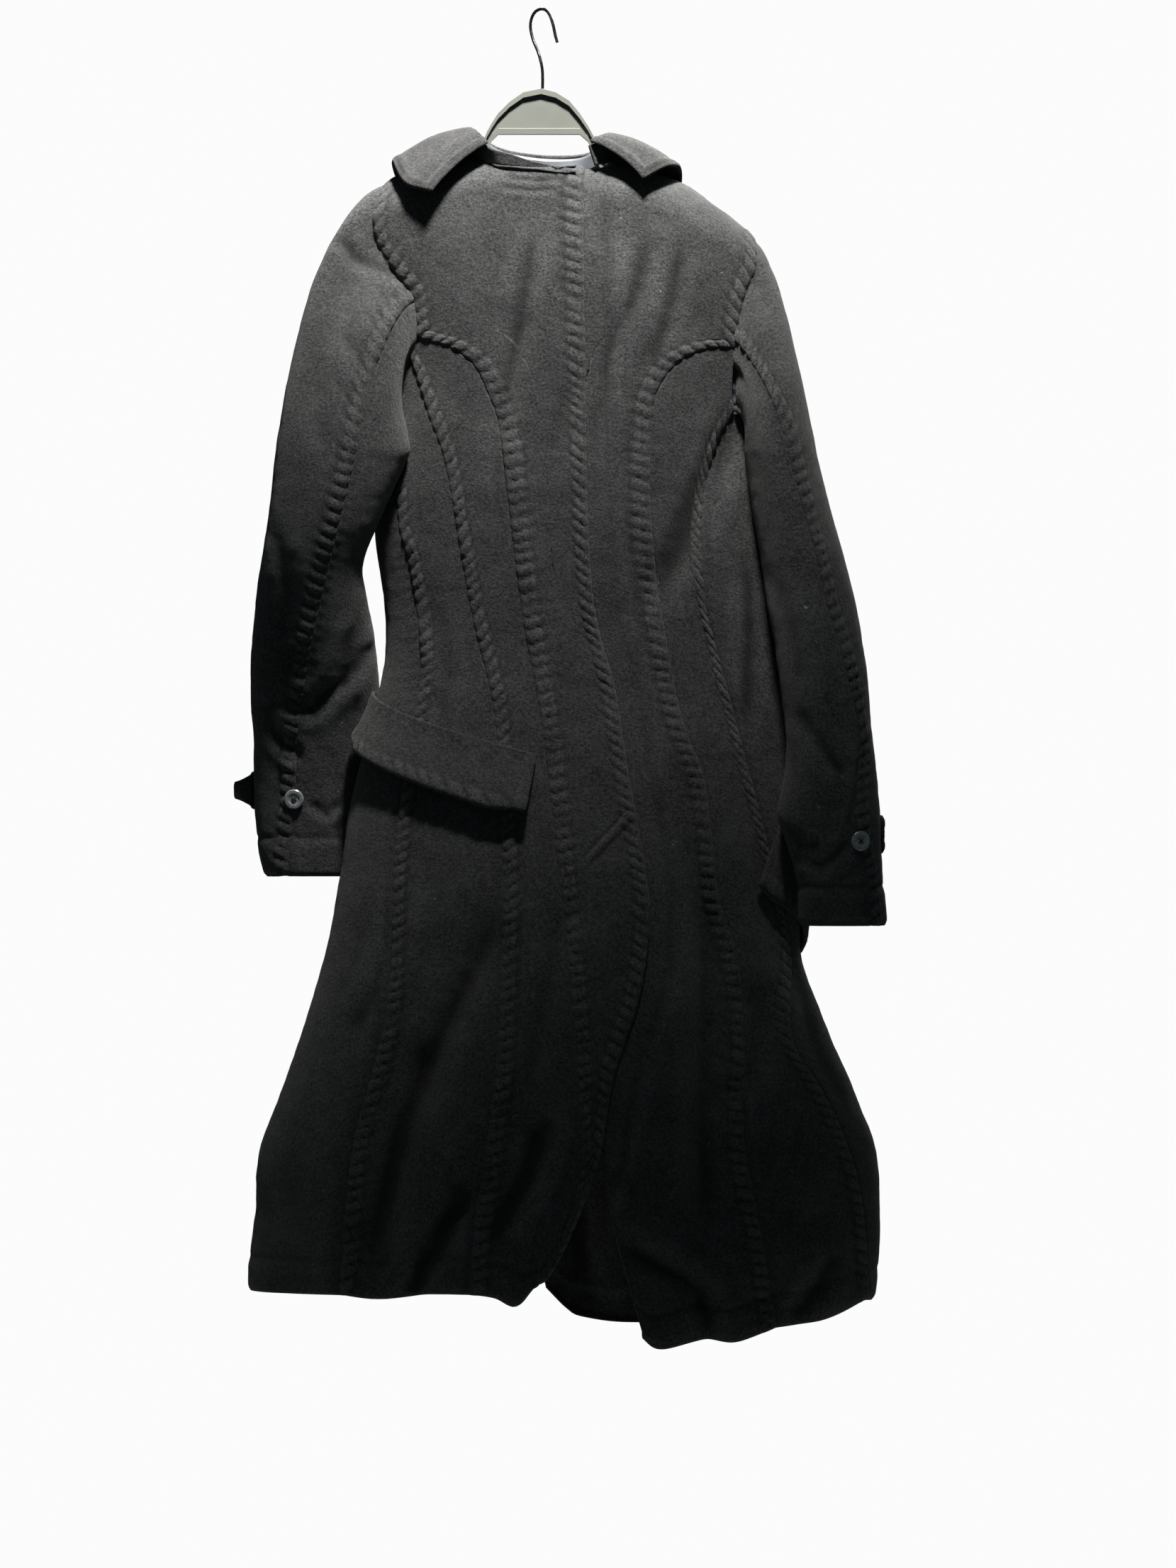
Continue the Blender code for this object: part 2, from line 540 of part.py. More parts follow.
def armhole_loop(front, low, back):
    """Columns of a sleeve: the armhole's points, each with its turn round the sleeve."""
    lengths = [0.0]
    points = front + low + list(reversed(back))
    places = [body_point(*p)[0] for p in points]
    for a, b in zip(places, places[1:]):
        lengths.append(lengths[-1] + (b - a).length)
    bottom = len(front) + len(low) // 2
    turns = []
    for i, length in enumerate(lengths):
        if i <= bottom:
            turns.append(length / lengths[bottom])
        else:
            turns.append(1 + (length - lengths[bottom]) / (lengths[-1] - lengths[bottom]))
    return [(turn, *point) for turn, point in zip(turns, points)][:-1]


def spaced(samples, count):
    return [along(samples, i / count) for i in range(1, count + 1)]


def straight(first, last, count):
    """Points between the ends of a side panel's top, leaving out both ends."""
    return [(first[0] + (last[0] - first[0]) * i / count, first[1] + (last[1] - first[1]) * i / count)
            for i in range(1, count)]


left_low = spaced(trace(ARMHOLE_LEFT_LOW), 1) + spaced(trace(ARMHOLE_LEFT_SIDE), 2)
left_low += straight(side_front_left[0], side_back_left[0], 4)
loop_left = armhole_loop(armhole_left, left_low, back_armhole_left)
sleeve_left = sleeve("left", SLEEVE_LEFT, -1, loop_left, 0.6, HEAD_LEFT, None)
right_low = spaced(trace(ARMHOLE_RIGHT_LOW), 4) + straight(side_front_right[0], side_back_right[0], 4)
# The back of the right armhole is written as turns past the right side.
back_right_up = [(turn + 2, z) for turn, z in back_armhole_right]
loop_right = armhole_loop(armhole_right, right_low, back_right_up)


def rip(point):
    """The torn seam at the right underarm: how much wider the gap is there."""
    return 8.0 * smooth_step((-334 - point.z) / 14) * smooth_step((point.z + 396) / 14) * (1 if point.y < -8 else 0)


sleeve_right = sleeve("right", SLEEVE_RIGHT, 1, loop_right, 0.62, HEAD_RIGHT, rip)


def strip(name, stations, samples, thickness, bow, material):
    """Collar piece: a strip through stations of a first and a second edge, with a roll over the crest."""
    rows = [(float(i), *row) for i, row in enumerate(stations)]
    read = read_table(rows)
    steps = (len(stations) - 1) * 2
    middle = []
    for j in range(samples + 1):
        t = j / samples
        line = []
        for i in range(steps + 1):
            values = read(i / 2)
            a, b = Vector(values[:3]), Vector(values[3:])
            if bow:
                point = a * (1 - t) ** 2 + (a * 0.45 + b * 0.55 + Vector((0, 0, bow))) * 2 * t * (1 - t) + b * t * t
            else:
                point = a.lerp(b, t)
            line.append(point)
        middle.append(line)
    inner, outer = [], []
    for j, line in enumerate(middle):
        low, high = [], []
        for i, point in enumerate(line):
            ahead = line[min(i + 1, steps)] - line[max(i - 1, 0)]
            down = middle[min(j + 1, samples)][i] - middle[max(j - 1, 0)][i]
            normal = ahead.cross(down).normalized()
            low.append(point - normal * thickness / 2)
            high.append(point + normal * thickness / 2)
        inner.append(low)
        outer.append(high)
    return wall(name, inner, outer, material)


stand_rows = []
for nx, ny, nz, tx, ty, tz in COLLAR_STAND:
    stand_rows.append((nx, ny, nz + 1.8, tx * 0.975, ty * 0.96, tz - 4.6))
strip("collar_stand", stand_rows, 2, 2.4, 0, finish_material("collar_stand", FELT, 0.95))
strip("collar_leaf", COLLAR_LEAF, 5, COLLAR_THICK, 11, finish_material("collar_leaf", FELT, 0.95))
facing_rows = [(nx * 0.95, ny * 0.93, nz + 5, tx * 0.95, ty * 0.915, tz - 3.2)
               for nx, ny, nz, tx, ty, tz in COLLAR_STAND[6:11]]
strip("neck_facing", facing_rows, 1, 1.0, 0, finish_material("neck_facing", SATIN, 0.5))


def flap(name, edges, lifts, columns, rows):
    """Pocket flap: a stiff double piece over the panels, its lower edge standing away."""
    (top_a, top_b), (low_a, low_b) = edges
    inner, outer = [], []
    for j in range(rows + 1):
        v = j / rows
        low, high = [], []
        for i in range(columns + 1):
            u = i / columns
            a = (top_a[0] + (low_a[0] - top_a[0]) * v, top_a[1] + (low_a[1] - top_a[1]) * v)
            b = (top_b[0] + (low_b[0] - top_b[0]) * v, top_b[1] + (low_b[1] - top_b[1]) * v)
            turn, z = a[0] + (b[0] - a[0]) * u, a[1] + (b[1] - a[1]) * u
            round_off = 7 * v * (smooth_step((u - 0.85) / 0.15) + smooth_step((0.12 - u) / 0.12))
            lift = lifts[0] + (lifts[1] - lifts[0]) * v ** 1.6
            point, normal = body_point(turn, z + round_off + 4 * math.sin(math.pi * u), lift, folds=False)
            rise = 0.9 if v > 0.7 else 0.0
            low.append(point - normal * FLAP_THICK / 2)
            high.append(point + normal * (FLAP_THICK / 2 + rise))
        inner.append(low)
        outer.append(high)
    return wall(name, inner, outer, finish_material(name, FELT, 0.95))


def at(x, z):
    return turn_at(x, z), z


flap("flap_left", ((at(-157, -655), at(-4, -714)), ((0.02, -708), at(-14, -775))), (5.6, 15), 12, 5)
flap("flap_right", ((at(226, -775), (1.14, -800)), (at(203, -845), (1.1, -915))), (5.4, 6.0), 8, 4)


def on_sleeve(part, row_height):
    """Point and normal of a sleeve's front seam at a height."""
    grid, normals, column = part
    for row in range(len(grid) - 1):
        high, low = grid[row][column], grid[row + 1][column]
        if high.z >= row_height >= low.z:
            t = (high.z - row_height) / (high.z - low.z)
            return high.lerp(low, t), normals[row][column].lerp(normals[row + 1][column], t).normalized()
    return grid[-1][column], normals[-1][column]


def turned(name, profile, steps, material):
    """Turned piece from a profile of radius and height, by a Screw modifier."""
    mesh = bmesh.new()
    verts = [mesh.verts.new((radius * MM, 0, height * MM)) for radius, height in profile]
    for a, b in zip(verts, verts[1:]):
        mesh.edges.new((a, b))
    piece = finish(name, mesh, material)
    screw = piece.modifiers.new("turn", "SCREW")
    screw.steps = steps
    screw.render_steps = steps
    screw.use_merge_vertices = True
    screw.merge_threshold = 0.00005
    return piece


def cuff_button(name, part, height):
    point, normal = on_sleeve(part, height)
    profile = ((0, 2.6), (4.6, 2.6), (6.0, 3.4), (8.4, 3.4), (BUTTON_RADIUS, 2.4), (BUTTON_RADIUS, 1.2), (7.6, 0),
               (0, 0))
    button = turned(name, profile, 24, finish_material(name, HORN, 0.35))
    button.rotation_euler = normal.to_track_quat("Z", "Y").to_euler()
    button.location = (point + normal * (HALF + BAND_RISE + 0.6)) * MM
    for x, y in ((1.7, 1.7), (-1.7, 1.7), (-1.7, -1.7), (1.7, -1.7)):
        bpy.ops.mesh.primitive_cylinder_add(vertices=8, radius=0.9 * MM, depth=12 * MM)
        drill = bpy.context.object
        drill.name = f"{name}_drill"
        drill.location = (x * MM, y * MM, 0)
        drill.parent = button
        drill.hide_render = True
        drill.display_type = "WIRE"
        cut = button.modifiers.new("hole", "BOOLEAN")
        cut.operation = "DIFFERENCE"
        cut.object = drill
        for owner in list(drill.users_collection):
            owner.objects.unlink(drill)
        cutters.objects.link(drill)
    return button


cuff_button("cuff_button_left", sleeve_left, -756)
cuff_button("cuff_button_right", sleeve_right, -796)


def cuff_tab(name, rows, sign, height, stand_off, reach):
    """Cuff tab: a strap over the back of the cuff, its rounded end standing free past the outer edge."""
    read = read_table(rows)
    outer_x, inner_x, mid_y, depth, _ = read(height)
    middle, half = (outer_x + inner_x) / 2, abs(outer_x - inner_x) / 2
    steps, width = 8, 17.0
    inner, outer = [], []
    for i in range(steps + 1):
        share = i / steps
        angle = math.pi * (1.55 + 0.4 * min(share, 0.8) / 0.8)
        out = Vector((sign * math.cos(angle) / half, -math.sin(angle) / depth, 0)).normalized()
        base = Vector((middle + sign * half * math.cos(angle), mid_y - depth * math.sin(angle), 0))
        base += out * (HALF + 2.6 + stand_off * max(0, share - 0.55))
        if share > 0.8:
            base += Vector((sign, -0.25, 0)) * reach * (share - 0.8) / 0.2
        spread = width * (1 - 0.55 * smooth_step((share - 0.7) / 0.3))
        low, high = [], []
        for v in (-1, 0, 1):
            point = base + Vector((0, 0, height + v * spread))
            low.append(point - out * 1.4)
            high.append(point + out * 1.4)
        inner.append(low)
        outer.append(high)
    return wall(name, inner, outer, finish_material(name, FELT, 0.95))


cuff_tab("cuff_tab_left", SLEEVE_LEFT, -1, -748, 3.0, 16)
cuff_tab("cuff_tab_right", SLEEVE_RIGHT, 1, -790, 0.0, 0)

# Lining that shows in the rip: a thin patch just inside the armhole's edge.
lining_inner, lining_outer = [], []
for j in range(5):
    z = -332 - 15 * j
    row_in, row_out = [], []
    for i in range(4):
        point, normal = body_point(turn_at(172 + 7 * i, z), z, -4.2)
        row_in.append(point - normal * 0.5)
        row_out.append(point + normal * 0.5)
    lining_inner.append(row_in)
    lining_outer.append(row_out)
wall("armhole_lining", lining_inner, lining_outer, finish_material("armhole_lining", SATIN, 0.5))

# Hanger body: an I-shaped section drawn through its stations, so the plate has a rim above and a rib below.
hanger_mesh = bmesh.new()
rings = []


def arm(x):
    """Station of an arm: its top lies just under the cloth, and it thins towards its end."""
    past = smooth_step((-122 - x) / 26) if x < 0 else smooth_step((x - 110) / 70)
    top = shoulder(x)[0] - HALF - 1.7 - 4 * past
    return x, top, top - ARM_HEIGHT * (1 - 0.45 * past), ARM_HALF


stations = [arm(x) for x in ARM_LEFT] + [(-61, -142, -156, 5)] + list(PLATE) + [arm(x) for x in ARM_RIGHT]
for x, top, bottom, half in stations:
    flange = min(RIM, (top - bottom) * 0.3)
    outline = ((-half, top), (half, top), (half, top - flange), (WEB, top - flange - 1), (WEB, bottom + flange + 1),
               (half, bottom + flange), (half, bottom), (-half, bottom), (-half, bottom + flange),
               (-WEB, bottom + flange + 1), (-WEB, top - flange - 1), (-half, top - flange))
    rings.append([hanger_mesh.verts.new((x * MM, y * MM, z * MM)) for y, z in outline])
for a, b in zip(rings, rings[1:]):
    for i in range(len(a)):
        k = (i + 1) % len(a)
        hanger_mesh.faces.new((a[i], a[k], b[k], b[i]))
hanger_mesh.faces.new(rings[0])
hanger_mesh.faces.new(rings[-1])
bmesh.ops.recalc_face_normals(hanger_mesh, faces=hanger_mesh.faces[:])
bmesh.ops.triangulate(hanger_mesh, faces=hanger_mesh.faces[:])
finish("hanger_body", hanger_mesh, finish_material("hanger_body", PLASTIC, 0.45))

# Hook: one bent wire.
hook_curve = bpy.data.curves.new("hanger_hook", "CURVE")
hook_curve.dimensions = "3D"
hook_curve.bevel_depth = WIRE_RADIUS * MM
hook_curve.bevel_resolution = 3
hook_curve.use_fill_caps = True
wire = hook_curve.splines.new("POLY")
read_hook = read_table([(float(i), x, z) for i, (x, z) in enumerate(HOOK)])
hook_steps = (len(HOOK) - 1) * 2
wire.points.add(hook_steps)
for i in range(hook_steps + 1):
    x, z = read_hook(i / 2)
    y = -(x - 1.4) * HOOK_TURN * smooth_step((z + 62) / 30)
    wire.points[i].co = (x * MM, y * MM, (z if i else z - 0.2) * MM, 1)
hook = bpy.data.objects.new("hanger_hook", hook_curve)
hook_curve.materials.append(finish_material("hanger_hook", CHROME, 0.15, 1.0))
coat.objects.link(hook)
weld = hook.modifiers.new("weld", "WELD")
weld.merge_threshold = 0.00005
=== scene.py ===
"""A felted wool coat with raised, puckered seams, hanging on a plastic hanger with a wire hook."""
import math

import bmesh
import bpy
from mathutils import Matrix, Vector, noise


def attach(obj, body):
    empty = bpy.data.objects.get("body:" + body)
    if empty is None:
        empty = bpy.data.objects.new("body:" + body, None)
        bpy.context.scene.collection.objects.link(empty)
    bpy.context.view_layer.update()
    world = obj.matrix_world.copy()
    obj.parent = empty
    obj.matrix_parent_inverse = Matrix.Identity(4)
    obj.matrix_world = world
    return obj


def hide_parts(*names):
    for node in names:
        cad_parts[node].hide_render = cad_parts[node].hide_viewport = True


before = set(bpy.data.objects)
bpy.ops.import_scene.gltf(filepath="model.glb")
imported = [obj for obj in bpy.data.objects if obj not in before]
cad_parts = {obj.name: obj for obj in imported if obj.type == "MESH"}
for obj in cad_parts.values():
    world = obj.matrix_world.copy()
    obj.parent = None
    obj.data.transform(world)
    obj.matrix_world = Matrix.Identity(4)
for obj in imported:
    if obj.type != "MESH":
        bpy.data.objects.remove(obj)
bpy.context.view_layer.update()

# Camera.
# It stands far off and looks level at the front, so that the coat shows as flat as in the photograph.
FRAME_HEIGHT = 1.504
AWAY = 7.5
FILM = 36.0


def into_scene(name, data):
    """New object for some data, linked to the scene."""
    item = bpy.data.objects.new(name, data)
    bpy.context.scene.collection.objects.link(item)
    return item


camera_data = bpy.data.cameras.new("camera")
camera_data.sensor_fit = "VERTICAL"
camera_data.sensor_height = FILM
camera_data.lens = FILM * AWAY / FRAME_HEIGHT
camera = into_scene("camera", camera_data)
camera.location = (0.045, -AWAY, -0.742)
camera.rotation_euler = (math.radians(90), 0, 0)
bpy.context.scene.camera = camera

# Felted wool.
# Black boiled wool: a matt nap with a soft sheen, cloudy where the fibres lie different ways, with
# a few pale specks of lint caught in it. The nap is drawn coarser than it is, so that it shows.


def linear(code):
    """Linear colour of an sRGB hex code."""
    channels = []
    for i in (1, 3, 5):
        value = int(code[i:i + 2], 16) / 255
        channels.append(value / 12.92 if value <= 0.04045 else ((value + 0.055) / 1.055) ** 2.4)
    return (*channels, 1.0)


def add(tree, kind, **values):
    """Adds a node with its settings, in small letters, and its inputs, where a socket is linked."""
    node = tree.nodes.new(kind)
    for name, value in values.items():
        if name.islower():
            setattr(node, name, value)
        elif isinstance(value, bpy.types.NodeSocket):
            tree.links.new(value, node.inputs[name.replace("_", " ")])
        else:
            node.inputs[name.replace("_", " ")].default_value = value
    return node


def blank(name, **constants):
    """Material with its tree, its shader with these constants, and object coordinates."""
    material = bpy.data.materials.new(name)
    material.use_nodes = True
    tree = material.node_tree
    shader = tree.nodes["Principled BSDF"]
    for socket, value in constants.items():
        shader.inputs[socket.replace("_", " ")].default_value = value
    return material, tree, shader, tree.nodes.new("ShaderNodeTexCoord").outputs["Object"]


# A pattern's scale is how many of its grains lie along a millimetre of the piece.
PER_MM = 1000.0
felt, tree, shader, place = blank("felted_wool", Roughness=0.93, Sheen_Weight=0.3, Sheen_Roughness=0.45,
                                  Sheen_Tint=linear("#b9b6b0"), Specular_IOR_Level=0.25)
cloud = add(tree, "ShaderNodeTexNoise", Vector=place, Scale=0.02 * PER_MM, Detail=3.0, Roughness=0.6)
nap = add(tree, "ShaderNodeTexNoise", Vector=place, Scale=0.4 * PER_MM, Detail=4.0, Roughness=0.75)
fibre = add(tree, "ShaderNodeTexNoise", Vector=place, Scale=1.5 * PER_MM, Detail=2.0, Distortion=1.5)
lint = add(tree, "ShaderNodeTexNoise", Vector=place, Scale=0.26 * PER_MM, Detail=1.0, Distortion=0.8)
shade = add(tree, "ShaderNodeMath", operation="MULTIPLY_ADD", Value=cloud.outputs["Fac"])
shade.inputs[1].default_value = 0.3
tree.links.new(nap.outputs["Fac"], shade.inputs[2])
tone = add(tree, "ShaderNodeValToRGB", Fac=shade.outputs[0])
tone.color_ramp.elements[0].position = 0.45
tone.color_ramp.elements[0].color = linear("#050506")
tone.color_ramp.elements[1].position = 0.85
tone.color_ramp.elements[1].color = linear("#484847")
speck = add(tree, "ShaderNodeValToRGB", Fac=lint.outputs["Fac"])
speck.color_ramp.elements[0].position = 0.8
speck.color_ramp.elements[0].color = (0, 0, 0, 1)
speck.color_ramp.elements[1].position = 0.83
speck.color_ramp.elements[1].color = (0.5, 0.5, 0.5, 1)
coloured = add(tree, "ShaderNodeMix", data_type="RGBA", Factor=speck.outputs["Color"],
               A=tone.outputs["Color"], B=linear("#a9a49a"))
# Painted shade and painted highlight: the colour is darkened in the hollows between the puckers, down to a
# quarter, and made paler on the tops of the puckers, up to half as bright again.
hollow = add(tree, "ShaderNodeAttribute", attribute_name="hollow")
depth = add(tree, "ShaderNodeMapRange", Value=hollow.outputs["Fac"], From_Min=-0.7, From_Max=0.9,
            To_Min=1.5, To_Max=0.25)
painted_shade_and_highlight = add(tree, "ShaderNodeMix", data_type="RGBA", blend_type="MULTIPLY", Factor=1.0,
               A=coloured.outputs["Result"], B=depth.outputs["Result"])
tree.links.new(painted_shade_and_highlight.outputs["Result"], shader.inputs["Base Color"])
coarse = add(tree, "ShaderNodeBump", Height=nap.outputs["Fac"], Strength=1.0, Distance=0.0024)
fine = add(tree, "ShaderNodeBump", Height=fibre.outputs["Fac"], Strength=0.6, Distance=0.0003,
           Normal=coarse.outputs["Normal"])
tree.links.new(fine.outputs["Normal"], shader.inputs["Normal"])

# Body of the coat.
# Every panel is a grid on one surface, which these sections and the shoulder line give. Sizes are in
# millimetres: height, left edge, right edge, front half depth, back half depth.
SECTIONS = (
    (-100, -190, 236, 44, 40), (-185, -179, 232, 54, 48), (-240, -165, 226, 60, 54),
    (-300, -147, 215, 62, 57), (-360, -139, 207, 62, 58), (-425, -148, 209, 62, 56),
    (-490, -157, 215, 60, 54), (-560, -148, 226, 57, 52), (-625, -147, 235, 56, 52),
    (-700, -164, 248, 64, 60), (-770, -181, 252, 74, 72), (-840, -191, 249, 84, 84),
    (-905, -204, 246, 92, 94), (-970, -223, 268, 99, 102), (-1035, -245, 296, 105, 110),
    (-1095, -267, 318, 110, 117), (-1150, -271, 322, 113, 121), (-1210, -277, 319, 112, 122),
    (-1280, -276, 308, 103, 116))
# The shoulder line and the neck, seen from the front: x, height.
SHOULDER = (
    (-260, -262), (-215, -224), (-179, -191), (-133, -161), (-100, -150), (-65, -141), (-30, -134), (0, -132),
    (30, -136), (67, -147), (100, -156), (137, -170), (161, -187), (188, -207), (205, -226), (260, -290))
# How far below the shoulder line the cloth starts to round over it, and how thick the cloth is.
RIDGE = 36.0
CLOTH = 2.2
HALF = CLOTH / 2

# Soft folds: top x, top height, low x, low height, half width, how deep.
FRONT_FOLDS = (
    (-50, -887, -111, -1010, 26, 10), (-111, -1010, -160, -1173, 26, 12), (-73, -1136, -122, -1225, 15, 15),
    (1, -1071, -43, -1166, 18, 8), (158, -850, 158, -1140, 24, 10), (205, -942, 178, -1040, 18, 8),
    (182, -398, 114, -554, 20, 9), (80, -1180, 151, -1235, 16, 8), (-19, -296, -43, -398, 22, 4))
BACK_FOLDS = (
    (-150, -900, -190, -1210, 26, 12), (-40, -960, -66, -1210, 20, 9), (60, -930, 70, -1240, 26, 12),
    (150, -900, 176, -1230, 26, 11), (240, -960, 262, -1210, 22, 10), (30, -420, 70, -600, 26, 5))
# Creases: half width, depth, then the x and height of the points that each runs through.
FRONT_CREASES = (
    (12, 3.2, (182, -398), (161, -452), (144, -493), (127, -527), (114, -554)),
    (9, 2.4, (101, -225), (90, -270), (74, -310), (61, -350), (52, -410), (50, -480)),
    (9, 2.2, (-6, -215), (-12, -252), (-22, -310), (-35, -375), (-40, -430), (-38, -500)),
    (8, 1.8, (134, -225), (126, -270), (116, -310), (98, -350)),
    (9, 1.8, (22, -360), (12, -430), (6, -500), (10, -570)),
    (9, 1.8, (76, -400), (78, -480), (88, -560), (100, -640)),
    (3, 1.3, (-34, -165), (-4, -168), (30, -166)),
    (3, 1.3, (-40, -172), (-6, -176), (20, -174)),
    (7, 2.0, (195, -527), (197, -602), (194, -690)),
    (12, 3.0, (-50, -887), (-84, -955), (-111, -1010), (-138, -1071), (-148, -1132), (-162, -1173)),
    (9, 3.0, (-73, -1136), (-97, -1153), (-114, -1180), (-122, -1221)),
    (10, 2.6, (1, -1071), (-9, -1112), (-26, -1139), (-43, -1166)),
    (14, 4.0, (158, -840), (158, -942), (154, -1078), (158, -1146)),
    (10, 3.5, (212, -942), (202, -1017), (178, -1040)),
    (10, 4.0, (284, -1187), (263, -1221), (236, -1251)),
    (9, 4.0, (80, -1180), (134, -1207), (151, -1221), (156, -1241), (161, -1267)),
    (8, 3.0, (61, -1085), (51, -1105), (63, -1146)),
    (7, 2.5, (51, -1105), (42, -1146), (63, -1153)),
    (2.6, -1.9, (88, -767), (66, -791), (42, -816)),
    (9, 2.2, (-104, -560), (-88, -640), (-92, -700)),
    (12, 2.4, (24, -860), (-2, -960), (-14, -1040)),
    (9, 2.0, (-128, -845), (-150, -930), (-182, -985)))
BACK_CREASES = (
    (12, 3.0, (150, -300), (120, -400), (96, -470)),
    (12, 3.0, (-96, -300), (-70, -400), (-52, -450)),
    (9, 2.6, (-120, -560), (-60, -590), (0, -585)),
    (9, 2.4, (190, -570), (120, -600), (60, -592)),
    (8, 2.0, (-90, -620), (-30, -640), (30, -628)),
    (12, 5.0, (-120, -860), (-150, -980), (-166, -1100), (-160, -1200)),
    (12, 5.0, (40, -900), (52, -1020), (50, -1130), (62, -1220)),
    (11, 4.5, (170, -880), (196, -1000), (204, -1120), (190, -1220)),
    (10, 4.0, (250, -960), (262, -1060), (258, -1180)),
    (9, 3.0, (-40, -900), (-74, -1000), (-90, -1060)),
    (9, 3.0, (100, -960), (118, -1060), (110, -1160)))


def read_table(rows):
    """Smooth reading of a table whose first column is the position."""
    rows = sorted(rows)
    keys = [row[0] for row in rows]

    def slope(index, column):
        low = max(index - 1, 0)
        high = min(index + 1, len(rows) - 1)
        return (rows[high][column] - rows[low][column]) / (keys[high] - keys[low])

    def read(key):
        key = min(max(key, keys[0]), keys[-1])
        index = 0
        while index < len(keys) - 2 and key > keys[index + 1]:
            index += 1
        span = keys[index + 1] - keys[index]
        t = (key - keys[index]) / span
        values = []
        for column in range(1, len(rows[0])):
            start, end = rows[index][column], rows[index + 1][column]
            pull = span * slope(index, column)
            push = span * slope(index + 1, column)
            values.append((2 * t ** 3 - 3 * t ** 2 + 1) * start + (t ** 3 - 2 * t ** 2 + t) * pull
                          + (3 * t ** 2 - 2 * t ** 3) * end + (t ** 3 - t ** 2) * push)
        return values
    return read


def ease(value):
    """Smooth step from 0 to 1."""
    value = min(max(value, 0.0), 1.0)
    return value * value * (3 - 2 * value)


def crease_depth(creases, x, z):
    """How far the creases draw a point in: a valley with a soft lip on each side."""
    total = 0.0
    for width, depth, *points in creases:
        reach = 3.5 * width
        if not (min(p[0] for p in points) - reach < x < max(p[0] for p in points) + reach
                and min(p[1] for p in points) - reach < z < max(p[1] for p in points) + reach):
            continue
        nearest, place = 1e9, 0.0
        for index, ((x0, z0), (x1, z1)) in enumerate(zip(points, points[1:])):
            length = math.hypot(x1 - x0, z1 - z0)
            t = ((x - x0) * (x1 - x0) + (z - z0) * (z1 - z0)) / length ** 2
            t = min(max(t, 0.0), 1.0)
            far = math.hypot(x - x0 - (x1 - x0) * t, z - z0 - (z1 - z0) * t)
            if far < nearest:
                nearest, place = far, (index + t) / (len(points) - 1)
        ends = ease(0.25 + place / 0.25) * ease(0.25 + (1 - place) / 0.25)
        r = nearest / width
        total += depth * ends * (math.exp(-r * r) - 0.35 * math.exp(-(r - 1.9) ** 2))
    return total


def fold_depth(folds, x, z):
    """How far the soft folds draw a point in."""
    total = 0.0
    for x0, z0, x1, z1, width, depth in folds:
        length = math.hypot(x1 - x0, z1 - z0)
        share = ((x - x0) * (x1 - x0) + (z - z0) * (z1 - z0)) / length ** 2
        across = ((x - x0) * (z1 - z0) - (z - z0) * (x1 - x0)) / length
        ends = ease((share + 0.25) / 0.4) * ease((1.3 - share) / 0.35)
        total += depth * ends * math.exp(-(across / width) ** 2)
    return total


section = read_table(SECTIONS)
shoulder = read_table(SHOULDER)


def turn_at(x, z, back=False):
    """Turn round the body: 0 at the left side, 0.5 in front, 1 at the right side, negative behind."""
    left, right, _, _ = section(z)
    u = (x - (left + right) / 2) / ((right - left) / 2)
    turn = math.acos(min(max(-u, -1.0), 1.0)) / math.pi
    return -turn if back else turn


def body_point(turn, z, lift=0.0, folds=True):
    """Point of the cloth's middle surface, raised by lift along its normal, and that normal."""
    left, right, front, behind = section(z)
    middle, half = (left + right) / 2, (right - left) / 2
    angle = math.pi * turn
    x = middle - half * math.cos(angle)
    in_front = math.sin(angle) >= 0
    depth = front if in_front else behind
    rise = max(0.0, 1 - max(0.0, shoulder(x)[0] - z) / RIDGE)
    y = -depth * math.sin(angle) * math.sqrt(1 - rise * rise)
    u = (x - middle) / half
    tilt = (shoulder(x + 1)[0] - shoulder(x - 1)[0]) / 2
    side = depth ** 2 * (1 - u * u)
    crown = depth ** 2 * (1 - rise * rise)
    grow_left, grow_right, _, _ = section(z - 2)
    lean = u * ((grow_right - grow_left) / 2 - half) / -2 + ((grow_left + grow_right) / 2 - middle) / -2
    normal = Vector((2 * u / half * crown - side * 2 * rise * tilt / RIDGE, 2 * y,
                     -2 * u / half * crown * lean + side * 2 * rise / RIDGE))
    if normal.length < 1e-6:
        normal = Vector((0, 0, 1))
    normal.normalize()
    if folds:
        reach = ease(abs(math.sin(angle)) / 0.35)
        lift -= reach * (fold_depth(FRONT_FOLDS if in_front else BACK_FOLDS, x, z)
                         + crease_depth(FRONT_CREASES if in_front else BACK_CREASES, x, z))
    return Vector((x, y, z)) + normal * lift, normal


def measured(samples):
    """Samples with their distance along the surface."""
    length = 0.0
    result = [(0.0, *samples[0])]
    for a, b in zip(samples, samples[1:]):
        length += max((body_point(*b, folds=False)[0] - body_point(*a, folds=False)[0]).length, 1e-6)
        result.append((length, *b))
    return result


def trace(points, back=False):
    """Smooth seam through x, height points, as many turn, height pairs with their distance along it."""
    read = read_table([(float(i), x, z) for i, (x, z) in enumerate(points)])
    samples = []
    for step in range((len(points) - 1) * 8 + 1):
        x, z = read(step / 8)
        samples.append((turn_at(x, z, back), z))
    return measured(samples)


def between(first, last, share):
    """Turn and height at a share of the way between two places."""
    return first[0] + (last[0] - first[0]) * share, first[1] + (last[1] - first[1]) * share


def straight(first, last, count):
    """Turns and heights at even steps between two places."""
    return [between(first, last, i / count) for i in range(count + 1)]


def along(samples, share):
    """Turn and height at a share of a traced seam's length."""
    target = share * samples[-1][0]
    for a, b in zip(samples, samples[1:]):
        if b[0] >= target:
            return between(a[1:], b[1:], (target - a[0]) / (b[0] - a[0]))
    return samples[-1][1:]


def seam(points, count, back=False):
    """Turns and heights at even steps along a smooth seam."""
    samples = trace(points, back)
    return [along(samples, i / count) for i in range(count + 1)]


